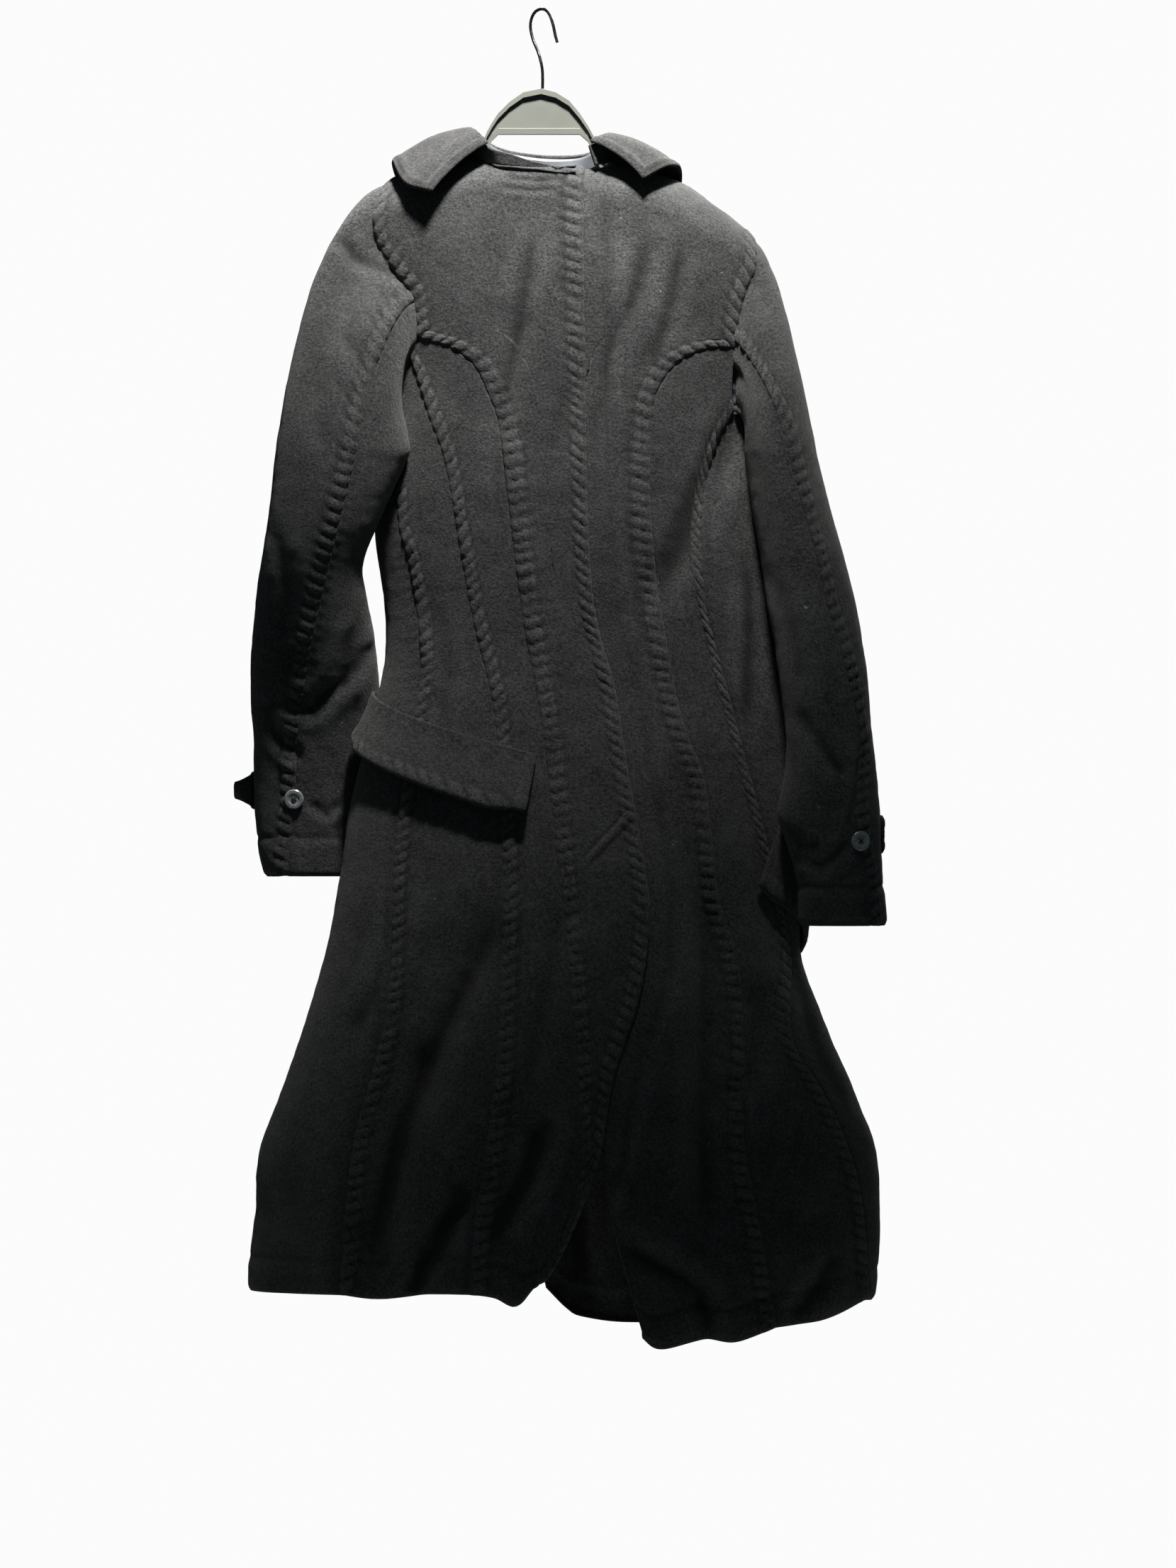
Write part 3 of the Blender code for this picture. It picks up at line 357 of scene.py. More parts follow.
def join(first, second):
    """Two traced edges, one after the other."""
    return first + [(first[-1][0] + distance, turn, z) for distance, turn, z in second[1:]]


def shoulder_edge(x0, x1, steps=12):
    """Points of the shoulder line between two x."""
    xs = [x0 + (x1 - x0) * i / steps for i in range(steps + 1)]
    return [(x, shoulder(x)[0]) for x in xs]


# The puckers repeat every so many millimetres along a seam.
PUCKER_PITCH = 12.0


def drift(distance, seed, layer):
    """How far the puckers wander from an even pitch."""
    return 0.5 * noise.noise(Vector((distance / 45, seed, layer)))


def pucker(distance, across, seed):
    """Rope-like seam: how far the cloth rises at a distance along the seam and a way off it."""
    phase = (distance + 0.45 * across) / PUCKER_PITCH + drift(distance, seed, 0)
    bulge = math.sqrt(abs(math.sin(math.pi * phase)))
    size = 0.8 + 0.5 * noise.noise(Vector((distance / 30, seed, 7)))
    body = ease(across / 2.6) * ease((14.0 - across) / 4.0)
    ripple = 0.4 * math.cos(2 * math.pi * phase) * math.exp(-max(0.0, across - 12) / 3.5)
    return body * (2.9 * bulge * size - 0.3) - 1.4 * ripple * ease((across - 10) / 6)


def dip(distance, across, seed):
    """The flat side of a seam: the cloth is drawn in at the stitches, in small waves that die out."""
    phase = (distance - 0.4 * across) / PUCKER_PITCH + drift(distance, seed, 3)
    return (0.6 * math.cos(2 * math.pi * phase) - 0.2) * math.exp(-across / 4) * ease(across / 3)


def lumps(point):
    """Felting leaves the cloth slightly uneven."""
    return 0.9 * noise.noise(point / 42) + 0.45 * noise.noise(point / 15) + 0.2 * noise.noise(point / 6)


def cloth(name, outer, node, back=False, thick=CLOTH, material=felt):
    """Cloth piece from a grid of points on its outside, with the cloth's thickness laid under them."""
    rows, columns = len(outer), len(outer[0])
    mesh = bmesh.new()
    bmesh.ops.create_grid(mesh, x_segments=columns - 1, y_segments=rows - 1, size=0.5)
    for vert in mesh.verts:
        column = round((vert.co.x + 0.5) * (columns - 1))
        row = round((vert.co.y + 0.5) * (rows - 1))
        vert.co = outer[row][column] * 0.001
    if back:
        bmesh.ops.reverse_faces(mesh, faces=mesh.faces[:])
    data = bpy.data.meshes.new(name)
    mesh.to_mesh(data)
    mesh.free()
    data.shade_smooth()
    data.materials.append(material)
    # How hollow the cloth is at each point, against the points around it, for the felt's painted shade in
    # the hollows and painted highlight on the raised places.
    hollow = []
    for r in range(rows):
        for c in range(columns):
            up, low = outer[max(r - 2, 0)][c], outer[min(r + 2, rows - 1)][c]
            left, right = outer[r][max(c - 2, 0)], outer[r][min(c + 2, columns - 1)]
            normal = (low - up).cross(right - left).normalized() * (-1 if back else 1)
            inside = 1 < r < rows - 2 and 1 < c < columns - 2
            level = (up + low + left + right) / 4
            hollow.append((level - outer[r][c]).dot(normal) if inside else 0.0)
    data.attributes.new("hollow", "FLOAT", "POINT").data.foreach_set("value", hollow)
    piece = into_scene(name, data)
    shell = piece.modifiers.new("thickness", "SOLIDIFY")
    shell.thickness = thick * 0.001
    shell.offset = -1.0
    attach(piece, "root")
    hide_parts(node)
    return piece


# Close columns beside a puckered seam, how much lower the covered edge of the front lies, and the rows
# of a panel above and below the bottom of the armhole.
BAND_STEPS = (0.0, 1.6, 3.6, 6.0, 8.4, 10.8, 13.0, 15.4)
UNDERLAP = 3.6
UP, DOWN = 66, 340


def turned_hem(off):
    """The doubled hem at a distance off the edge: thicker, with a groove where it is sewn up."""
    doubled = 1.2 * ease(off / 5) * ease((30 - off) / 10)
    return doubled - 0.7 * math.exp(-((off - 32) / 2.5) ** 2) - 1.2 * math.exp(-off / 2)


def panel(name, left, right, top, bottom, columns, band="", behind=None, seed=0):
    """Cloth panel between two seams with the same rows, filled in from its four edges."""
    rows = len(left)
    grid, down = [], [0.0, 0.0]
    before = None
    for row in range(rows):
        a, b = left[row], right[row]
        share = row / (rows - 1)
        ends = body_point(*a, folds=False)[0], body_point(*b, folds=False)[0]
        width = (ends[1] - ends[0]).length + 1e-3
        if before:
            down = [d + (p - q).length for d, p, q in zip(down, ends, before)]
        before = ends
        squeeze = min(1.0, 0.4 * width / BAND_STEPS[-1])
        near = [d * squeeze / width for d in BAND_STEPS]
        start = near[-1] if "left" in band else 0.0
        end = 1 - near[-1] if "right" in band else 1.0
        places = near[:-1] if "left" in band else []
        places = places + [start + (end - start) * i / columns for i in range(columns + 1)]
        if "right" in band:
            places += [1 - u for u in reversed(near[:-1])]
        line = []
        for u in places:
            turn, z = between(a, b, u)
            for edge, weight in ((top, (1 - share) ** 2), (bottom, share ** 2)):
                if edge:
                    there = along(edge, u)
                    level = between(along(edge, 0.0), along(edge, 1.0), u)
                    turn += weight * (there[0] - level[0])
                    z += weight * (there[1] - level[1])
            lift = HALF
            sides = ("left", u * width, down[0]), ("right", (1 - u) * width, down[1])
            for side, across, distance in sides:
                if across >= 40:
                    continue
                if side in band:
                    lift += pucker(distance, across / max(squeeze, 0.5), seed + len(side))
                else:
                    lift += dip(distance, across, seed + len(side))
            if behind:
                x = body_point(turn, z, folds=False)[0].x
                lift -= UNDERLAP * ease((behind(z)[0] + 36 - x) / 16)
            point, normal = body_point(turn, z, lift)
            edge_fade = ease(min(u, 1 - u) * width / 12)
            line.append((point + normal * lumps(point) * edge_fade, normal))
        grid.append(line)
    low_edge = [point for point, _ in grid[-1]]
    outer = [[point + normal * turned_hem((point - edge).length)
              for (point, normal), edge in zip(line, low_edge)] for line in grid]
    return cloth("felt_" + name, outer, name)


# Front panels.
# The seams run from the armholes and the neck to the hem, each with a puckered rope beside it, and
# the left front lies over the right one. Each outline is a list of x, height.
NECK_FRONT = ((-65, -141), (-63, -144), (-56, -149), (-42, -153), (-24, -155), (0, -156), (20, -156),
              (40, -155))
NECK_RIGHT = ((13, -156), (24, -156), (40, -156), (54, -154), (63, -151), (67, -147))
ARMHOLE_LEFT = ((-148, -170), (-156, -190), (-158, -207), (-153, -228), (-138, -252), (-122, -277),
                (-118, -300), (-118, -315))
ARMHOLE_LEFT_LOW = ((-118, -315), (-124, -331))
ARMHOLE_LEFT_SIDE = ((-124, -331), (-129, -346), (-135, -362))
ARMHOLE_RIGHT = ((203, -224), (203, -250), (196, -266), (190, -286), (186, -308), (185, -325))
ARMHOLE_RIGHT_LOW = ((185, -325), (182, -345), (181, -368), (184, -388))
PRINCESS_LEFT = ((-118, -315), (-101, -320), (-84, -326), (-63, -343), (-50, -371), (-39, -405), (-31, -466),
                 (-17, -581), (1, -683), (15, -806), (29, -942), (36, -1030), (40, -1090), (31, -1146),
                 (12, -1190), (-9, -1219))
FRONT_LEFT = ((-124, -331), (-105, -391), (-89, -439), (-73, -534), (-63, -588), (-43, -677), (-36, -785),
              (-35, -874), (-41, -1010), (-53, -1105), (-62, -1160), (-66, -1224))
SIDE_FRONT_LEFT = ((-135, -362), (-137, -425), (-134, -493), (-124, -534), (-114, -600), (-114, -649),
                   (-124, -704), (-137, -806), (-143, -942), (-155, -1003), (-175, -1078), (-186, -1159),
                   (-189, -1226))
EDGE_LEFT_UP = ((40, -155), (40, -228), (41, -315))
EDGE_LEFT = ((41, -315), (43, -466), (50, -575), (69, -649), (82, -731), (97, -816), (102, -874), (93, -942),
             (69, -1017), (58, -1078), (51, -1105), (33, -1155), (14, -1195), (3, -1211))
EDGE_RIGHT_UP = ((13, -156), (13, -228), (14, -325))
EDGE_RIGHT = ((14, -325), (16, -466), (23, -575), (50, -697), (61, -768), (69, -874), (63, -1010),
              (61, -1071), (66, -1146), (83, -1214), (97, -1265))
PRINCESS_RIGHT = ((185, -325), (161, -326), (134, -337), (114, -360), (105, -391), (103, -466), (110, -547),
                  (131, -670), (154, -738), (168, -840), (185, -901), (195, -989), (192, -1078), (209, -1173),
                  (222, -1257))
SIDE_FRONT_RIGHT = ((184, -388), (168, -425), (156, -479), (154, -560), (168, -622), (188, -697),
                    (216, -806), (236, -901), (237, -983), (263, -1030), (284, -1071), (300, -1119),
                    (307, -1166), (310, -1233))
HEM_LEFT_CENTRE = ((-9, -1219), (-2, -1214), (3, -1211))
HEM_LEFT_MID = ((-66, -1224), (-43, -1227), (-24, -1235), (-9, -1219))
HEM_LEFT_FRONT = ((-189, -1226), (-152, -1229), (-97, -1224), (-66, -1224))
HEM_RIGHT_CENTRE = ((97, -1265), (114, -1276), (155, -1267), (185, -1270), (222, -1257))
HEM_RIGHT_MID = ((222, -1257), (270, -1250), (310, -1233))
armhole_left = seam(ARMHOLE_LEFT, UP)
armhole_right = seam(ARMHOLE_RIGHT, UP)
princess_left = seam(PRINCESS_LEFT, DOWN)
front_left = seam(FRONT_LEFT, DOWN)
side_front_left = seam(SIDE_FRONT_LEFT, DOWN)
princess_right = seam(PRINCESS_RIGHT, DOWN)
side_front_right = seam(SIDE_FRONT_RIGHT, DOWN)
edge_left = seam(EDGE_LEFT_UP, UP)[:-1] + seam(EDGE_LEFT, DOWN)
edge_right = seam(EDGE_RIGHT_UP, UP)[:-1] + seam(EDGE_RIGHT, DOWN)
side_back_left = straight((-0.1, -372), (-0.14, -1226), DOWN)
side_back_right = straight((1.1, -398), (1.14, -1240), DOWN)
left_edge_of = read_table([(z, x) for x, z in EDGE_LEFT_UP[:-1] + EDGE_LEFT])
top_left = join(trace(shoulder_edge(-148, -65)), trace(NECK_FRONT))
top_right = join(trace(NECK_RIGHT), trace(shoulder_edge(67, 203)))
panel("front_left_centre", armhole_left[:-1] + princess_left, edge_left, top_left,
      trace(HEM_LEFT_CENTRE), 44, "left right", seed=1)
panel("front_left_mid", front_left, princess_left, trace(tuple(reversed(ARMHOLE_LEFT_LOW))),
      trace(HEM_LEFT_MID), 16, "left", seed=2)
panel("front_left_side", side_front_left, front_left, trace(tuple(reversed(ARMHOLE_LEFT_SIDE))),
      trace(HEM_LEFT_FRONT), 22, "left", seed=3)
panel("side_left", side_back_left, side_front_left, None, None, 28, seed=4)
panel("front_right_centre", edge_right, armhole_right[:-1] + princess_right, top_right,
      trace(HEM_RIGHT_CENTRE), 42, "right", left_edge_of, seed=5)
panel("front_right_mid", princess_right, side_front_right, trace(ARMHOLE_RIGHT_LOW),
      trace(HEM_RIGHT_MID), 20, "right", seed=6)
panel("side_right", side_front_right, side_back_right, None, None, 28, seed=7)

# Back panels.
# They meet at a centre seam that opens below as a vent, whose edges part towards the hem.
NECK_BACK = ((-65, -141), (-62, -145), (-45, -155), (-20, -162), (-2, -163), (20, -163), (45, -159),
             (63, -152), (67, -147))
CENTRE_BACK = ((-2, -163), (-3, -315))
CENTRE_BACK_LOW = ((-3, -315), (-10, -534), (-24, -738), (-40, -908), (-48, -1000))
BACK_ARMHOLE_LEFT = ((-148, -170), (-152, -200), (-140, -240), (-129, -280), (-125, -320), (-127, -350),
                     (-132, -372))
BACK_ARMHOLE_RIGHT = ((203, -224), (200, -256), (193, -290), (189, -325), (190, -360), (198, -398))
HEM_BACK_LEFT = ((-255, -1226), (-192, -1228), (-138, -1235), (-106, -1236))
HEM_BACK_RIGHT = ((4, -1233), (25, -1253), (42, -1261), (97, -1266), (200, -1262), (290, -1240))
SEAM_GAP = 0.6
vent_left = CENTRE_BACK_LOW + ((-72, -1105), (-106, -1236))
vent_right = tuple((x + SEAM_GAP, z) for x, z in CENTRE_BACK_LOW) + ((-24, -1105), (4, -1233))
back_armhole_left = seam(BACK_ARMHOLE_LEFT, UP, True)
back_armhole_right = seam(BACK_ARMHOLE_RIGHT, UP, True)
turned_right = [(turn - 2, z) for turn, z in side_back_right]
back_armhole_left[-1] = side_back_left[0]
back_armhole_right[-1] = turned_right[0]
centre_up = seam(CENTRE_BACK, UP, True)
half_left = [item for item in NECK_BACK if item[0] <= -2]
half_right = [item for item in NECK_BACK if item[0] >= -2]
back_top_left = join(trace(shoulder_edge(-148, -65), True), trace(half_left, True))
back_top_right = join(trace(half_right, True), trace(shoulder_edge(67, 203), True))
panel("back_left", back_armhole_left[:-1] + side_back_left, centre_up[:-1] + seam(vent_left, DOWN, True),
      back_top_left, trace(HEM_BACK_LEFT, True), 50, "left right", seed=8)
panel("back_right", centre_up[:-1] + seam(vent_right, DOWN, True), back_armhole_right[:-1] + turned_right,
      back_top_right, trace(HEM_BACK_RIGHT, True), 58, "right", seed=9)

# Sleeves.
# Two-piece sleeves: each is a tube from the armhole to the open cuff, with a puckered seam in front,
# a full head, and creases at the elbow. A table's row is height, outer x, inner x, middle y, half
# depth and the front seam's x, and a crease's is as on the body.
SLEEVE_LEFT = (
    (-425, -250, -128, -42, 36, -175), (-490, -257, -157, -36, 35, -192), (-534, -265, -174, -24, 34, -203),
    (-568, -270, -169, -12, 33, -211), (-602, -274, -163, 0, 33, -219), (-636, -276, -160, 12, 32, -225),
    (-670, -276, -158, 22, 31, -230), (-700, -274, -160, 28, 30, -234), (-728, -274, -163, 32, 30, -235),
    (-765, -273, -167, 35, 29, -237), (-799, -269, -171, 36, 28, -241), (-831, -262, -177, 36, 28, -242))
SLEEVE_RIGHT = (
    (-425, 260, 198, -30, 54, 233), (-490, 276, 207, -34, 50, 250), (-534, 288, 214, -38, 47, 262),
    (-568, 296, 219, -42, 44, 269), (-602, 303, 225, -46, 42, 280), (-636, 307, 230, -49, 40, 288),
    (-670, 310, 234, -52, 38, 296), (-704, 313, 237, -56, 36, 300), (-738, 317, 234, -60, 34, 299),
    (-772, 320, 229, -64, 32, 297), (-806, 321, 240, -64, 31, 303), (-840, 323, 248, -62, 31, 308),
    (-877, 326, 250, -60, 30, 312))
LEFT_CREASES = (
    (7, 2.2, (-193, -216), (-179, -238), (-152, -252), (-127, -259)),
    (8, 4.0, (-172, -575), (-192, -643), (-220, -670), (-250, -660)),
    (6, 2.5, (-162, -605), (-179, -632), (-192, -653)),
    (7, 3.0, (-250, -660), (-260, -670), (-257, -690), (-240, -707), (-226, -721)),
    (5, 1.8, (-223, -758), (-206, -770), (-192, -758)),
    (5, 1.5, (-199, -789), (-186, -772)),
    (14, 2.0, (-222, -300), (-212, -380), (-196, -440)),
    (8, 1.8, (-250, -500), (-240, -560), (-250, -610)),
    (10, 1.8, (-190, -310), (-170, -340), (-158, -352)))
RIGHT_CREASES = (
    (8, 3.0, (243, -670), (263, -697), (277, -721), (290, -734)),
    (6, 2.5, (304, -704), (301, -738), (295, -765), (290, -785)),
    (6, 2.2, (233, -782), (250, -799), (267, -804)),
    (6, 2.0, (239, -806), (267, -819), (280, -809), (290, -792)),
    (8, 1.8, (206, -300), (220, -380), (226, -430)),
    (8, 2.0, (222, -540), (240, -600), (250, -650)),
    (10, 1.8, (262, -470), (276, -560), (280, -620)))
# Creases of the sleeves' backs, at the elbow.
LEFT_BACK_CREASES = (
    (8, 3.0, (-262, -560), (-220, -590), (-176, -575)),
    (7, 2.6, (-268, -620), (-230, -650), (-180, -640)),
    (7, 2.4, (-262, -690), (-230, -705), (-186, -690)),
    (10, 2.2, (-230, -300), (-200, -360), (-150, -390)))
RIGHT_BACK_CREASES = (
    (8, 3.0, (296, -560), (262, -590), (222, -570)),
    (7, 2.6, (306, -620), (270, -645), (232, -640)),
    (7, 2.4, (312, -690), (276, -712), (240, -700)),
    (10, 2.2, (250, -330), (232, -390), (212, -410)))


def clear_of_body(point, margin):
    """Moves a sleeve point just outside the body's section."""
    for _ in range(4):
        left, right, front, behind = section(point.z)
        depth = front if point.y < 0 else behind
        half = (right - left) / 2
        u = (point.x - (left + right) / 2) / half
        v = point.y / depth
        level = math.hypot(u, v)
        slope = Vector((u / half, v / depth, 0)) / max(level, 1e-6)
        distance = (level - 1) / max(slope.length, 1e-6)
        if distance >= margin:
            break
        point = point + slope.normalized() * (margin - distance)
    return point


def armhole_loop(front, low, back):
    """Columns of a sleeve: the armhole's points, each with its turn round the sleeve."""
    lengths = [0.0]
    points = front + low + list(reversed(back))
    places = [body_point(*p)[0] for p in points]
    for a, b in zip(places, places[1:]):
        lengths.append(lengths[-1] + (b - a).length)
    bottom = len(front) + len(low) // 2
    turns = []
    for i, length in enumerate(lengths):
        if i <= bottom:
            turns.append(length / lengths[bottom])
        else:
            turns.append(1 + (length - lengths[bottom]) / (lengths[-1] - lengths[bottom]))
    return [(turn, *point) for turn, point in zip(turns, points)][:-1]


# Rows of the head and of the arm below it, and where the back seam lies round the sleeve.
HEAD_ROWS, ARM_ROWS = 70, 165
BACK_SEAM = 1.45
# The head's first rows lie flat beside the armhole, then it curves over in the rest: stages of the head
# in all, the stages that lie flat, and the stage from which it keeps clear of the body.
STAGES, FLAT, CLEAR = 6, 0.7, 1.3


def sleeve(name, table, sign, loop, front_seam, head, rip, front_creases, back_creases, seed):
    """Sleeve from its armhole loop to the cuff, as two shells that meet at two seams.

    A head is how far it drops, how far it reaches out and how much narrower it comes in.
    """
    read = read_table(table)
    top, cuff = table[0][0], table[-1][0]
    drop, reach, narrower = head
    seam_column = min(range(len(loop)), key=lambda i: abs(loop[i][0] - front_seam))
    back_column = min(range(len(loop)), key=lambda i: abs(loop[i][0] - BACK_SEAM))
    start = [body_point(turn, z) for _, turn, z in loop]
    centre = sum((p for p, _ in start), Vector()) / len(start)
    was = loop[seam_column][0]
    count = len(loop)
    grid = []
    for row in range(HEAD_ROWS + ARM_ROWS + 1):
        in_head = row < HEAD_ROWS
        z = top if in_head else top + (cuff - top) * (row - HEAD_ROWS) / ARM_ROWS
        outer, inner, mid_y, depth, seam_x = read(z)
        middle, half = (outer + inner) / 2, abs(outer - inner) / 2
        seam_turn = math.acos(min(max(sign * (seam_x - middle) / half, -1), 1)) / math.pi
        share = row / HEAD_ROWS
        stage = share * STAGES
        line = []
        for column, (turn, _, _) in enumerate(loop):
            if turn <= was:
                turned = turn * seam_turn / was
            elif turn <= BACK_SEAM:
                turned = seam_turn + (turn - was) * (BACK_SEAM - seam_turn) / (BACK_SEAM - was)
            else:
                turned = turn
            turned = turn + (turned - turn) * ease(share)
            angle = math.pi * turned
            point = Vector((middle + sign * half * math.cos(angle), mid_y - depth * math.sin(angle), z))
            low = ease((1 - math.cos(math.pi * turn)) / 2)
            high = 1 - low
            if in_head:
                first, normal = start[column]
                away = (first - centre).normalized()
                ahead = start[(column + 1) % count][0] - start[column - 1][0]
                off_panel = ahead.cross(normal).normalized() * -sign
                out = Vector((sign, 0, 0)) * (1 - 0.5 * low) + away * 0.2 - Vector((0, 0, drop * high))
                out = (out + normal * 0.9 * low).normalized()
                gap = 0.1 + (rip(first) if rip else 0.0)
                p0 = first + off_panel * (gap + 4.5 - 3 * low) + normal * 2.6 * low
                p1 = first + out * (reach - (reach - 18) * low)
                p2 = point + Vector((-sign * narrower * high, 0, 135 - 100 * low))
                if stage < FLAT:
                    point = (first + off_panel * gap).lerp(p0, ease(stage / FLAT))
                else:
                    t = (stage - FLAT) / (STAGES - FLAT)
                    near = p0 * (1 - t) ** 3 + p1 * 3 * t * (1 - t) ** 2
                    point = near + p2 * 3 * t * t * (1 - t) + point * t ** 3
            if stage > CLEAR:
                cleared = clear_of_body(point, CLOTH + 2.6 + (6.5 if sign > 0 and z < -690 else 0.0))
                outer_side = in_head and low < 0.35
                point = point.lerp(cleared, ease((low - 0.05) / 0.3)) if outer_side else cleared
            line.append(point)
        grid.append(line)
    last = len(grid) - 1
    for _ in range(3):
        grid = [grid[0], grid[1]] + [
            [grid[r][c] * 0.5 + (grid[r - 1][c] + grid[min(r + 1, last)][c]) * 0.25 for c in range(count)]
            for r in range(2, len(grid))]
    normals = []
    for row in range(len(grid)):
        line = []
        for column in range(count):
            ahead = grid[row][(column + 1) % count] - grid[row][column - 1]
            down = grid[min(row + 1, last)][column] - grid[max(row - 1, 0)][column]
            line.append(ahead.cross(down).normalized() * sign)
        normals.append(line)
    for row in range(4):
        normals[row] = [start[c][1].lerp(normals[4][c], row / 4).normalized() for c in range(count)]
    place = [0.0]
    for a, b in zip(grid, grid[1:]):
        place.append(place[-1] + (b[seam_column] - a[seam_column]).length)
    upper = list(range(back_column - count, seam_column + 1))
    under = list(range(seam_column, back_column + 1))
    for label, columns in (("upper", upper), ("under", under)):
        outside = []
        for row, (line, facing) in enumerate(zip(grid, normals)):
            points = []
            to_cuff = place[-1] - place[row]
            across = [0.0]
            for a, b in zip(columns, columns[1:]):
                across.append(across[-1] + (line[b % count] - line[a % count]).length)
            for at, c in enumerate(columns):
                point, normal = line[c % count], facing[c % count]
                lift = HALF
                from_front = across[-1] - across[at] if label == "upper" else across[at]
                if label == "upper" and from_front < 40:
                    lift += pucker(place[row], from_front, seed)
                elif from_front < 40:
                    lift += dip(place[row], from_front, seed)
                from_back = across[at] if label == "upper" else across[-1] - across[at]
                if from_back < 30:
                    lift += dip(place[row], from_back, seed + 5)
                creases = front_creases if normal.y < 0 else back_creases
                lift -= ease(abs(normal.y) / 0.5) * crease_depth(creases, point.x, point.z)
                lift += 0.8 * ease(place[row] / 6) * ease((20 - place[row]) / 10)
                lift += (1.1 * ease(to_cuff / 4) * ease((36 - to_cuff) / 8)
                         - 0.8 * math.exp(-((to_cuff - 37) / 2.2) ** 2) - 1.2 * math.exp(-to_cuff / 2))
                lift += lumps(point) * ease(place[row] / 10) * ease(min(from_front, from_back) / 10)
                points.append(point + normal * lift)
            outside.append(points)
        cloth(f"felt_sleeve_{name}_{label}", outside, f"sleeve_{name}_{label}", back=sign > 0)


def rip(point):
    """The torn seam at the right underarm: how much wider the gap is there."""
    return 8.0 * ease((-334 - point.z) / 14) * ease((point.z + 396) / 14) * (1 if point.y < -8 else 0)


AROUND = 40
HEAD_LEFT, HEAD_RIGHT = (0.7, 60, 20), (1.7, 40, 28)
left_low = seam(ARMHOLE_LEFT_LOW, 5)[1:] + seam(ARMHOLE_LEFT_SIDE, 8)[1:]
left_low += straight(side_front_left[0], side_back_left[0], 14)[1:-1]
back_left_up = back_armhole_left[::2][:-1] + [side_back_left[0]]
loop_left = armhole_loop(seam(ARMHOLE_LEFT, AROUND), left_low, back_left_up)
sleeve("left", SLEEVE_LEFT, -1, loop_left, 0.6, HEAD_LEFT, None, LEFT_CREASES, LEFT_BACK_CREASES, 21)
right_low = seam(ARMHOLE_RIGHT_LOW, 16)[1:] + straight(side_front_right[0], side_back_right[0], 14)[1:-1]
back_right_up = [(turn + 2, z) for turn, z in back_armhole_right[::2]]
loop_right = armhole_loop(seam(ARMHOLE_RIGHT, AROUND), right_low, back_right_up)
sleeve("right", SLEEVE_RIGHT, 1, loop_right, 0.62, HEAD_RIGHT, rip, RIGHT_CREASES, RIGHT_BACK_CREASES, 31)

# Collar.
# A stand round the neck and a spread leaf over it, with a thick turned edge stitched a little way in.
# A row is one place round the neck: x, y and height of the first edge, then of the second. The leaf's
# edges are its crest and its free edge, and the stand's are the neck seam and the crest.
COLLAR_LEAF = (
    (-50, -51, -131, -104, -64, -179), (-61, -34, -119, -130, -46, -170), (-70, -6, -113, -143, -10, -146),
    (-62, 28, -118, -134, 40, -166), (-38, 47, -129, -88, 74, -194), (0, 53, -135, 0, 82, -206),
    (38, 48, -135, 88, 76, -198), (58, 30, -127, 128, 42, -182), (67, -4, -120, 135, -4, -155),
    (61, -33, -122, 123, -42, -153), (47, -51, -129, 98, -64, -167))
COLLAR_STAND = (
    (34, -57, -155, 33, -58, -151), (0, -55, -156, -2, -58, -146), (-24, -53, -155, -28, -57, -138),
    (-42, -47, -153, -50, -51, -131), (-58, -31, -148, -61, -34, -119), (-66, -4, -140, -70, -6, -113),
    (-61, 26, -143, -62, 28, -118), (-42, 45, -154, -38, 47, -129), (-2, 51, -162, 0, 53, -135),
    (42, 47, -158, 38, 48, -135), (61, 28, -151, 58, 30, -127), (68, -4, -146, 67, -4, -120),
    (62, -31, -151, 61, -33, -122), (52, -45, -154, 47, -51, -129))


def strip(stations, along_steps, across_steps, thick, bow, relief):
    """Outside points of a strip between a first and a second edge, with a roll over the crest."""
    read = read_table([(float(i), *row) for i, row in enumerate(stations)])
    steps = (len(stations) - 1) * along_steps
    middle = []
    for j in range(across_steps + 1):
        t = j / across_steps
        line = []
        for i in range(steps + 1):
            values = read(i / along_steps)
            a, b = Vector(values[:3]), Vector(values[3:])
            if bow:
                roll = a * 0.45 + b * 0.55 + Vector((0, 0, bow))
                line.append(a * (1 - t) ** 2 + roll * 2 * t * (1 - t) + b * t * t)
            else:
                line.append(a.lerp(b, t))
        middle.append(line)
    outside = []
    for j, line in enumerate(middle):
        row = []
        for i, point in enumerate(line):
            ahead = line[min(i + 1, steps)] - line[max(i - 1, 0)]
            down = middle[min(j + 1, across_steps)][i] - middle[max(j - 1, 0)][i]
            normal = ahead.cross(down).normalized()
            to_edge = (middle[-1][i] - point).length
            to_end = min((line[0] - point).length, (line[-1] - point).length)
            row.append(point + normal * (thick / 2 + relief(point, to_edge, to_end)))
        outside.append(row)
    return outside


def leaf_relief(point, to_edge, to_end):
    """The leaf's doubled edge, the groove of its stitching and the waves that the stitches draw."""
    near = min(to_edge, to_end)
    edge = 0.9 * ease(near / 3) * ease((12 - near) / 4) - 0.6 * math.exp(-((near - 11) / 1.8) ** 2)
    wave = 0.5 * noise.noise(Vector((point.x / 9, point.y / 9, 5))) * ease((16 - near) / 8)
    return edge - 1.3 * math.exp(-near / 1.6) + wave + lumps(point) * 1.1 * ease(near / 10)


LEAF, STAND, SATIN = 3.0, 2.4, 1.0
leaf = strip(COLLAR_LEAF, 14, 26, LEAF, 11, leaf_relief)
cloth("felt_collar_leaf", leaf, "collar_leaf", thick=LEAF)
stand_rows = [(nx, ny, nz + 1.8, tx * 0.975, ty * 0.96, tz - 4.6) for nx, ny, nz, tx, ty, tz in COLLAR_STAND]
stand = strip(stand_rows, 8, 10, STAND, 0, lambda point, to_edge, to_end: 0.3 * lumps(point))
cloth("felt_collar_stand", stand, "collar_stand", thick=STAND)
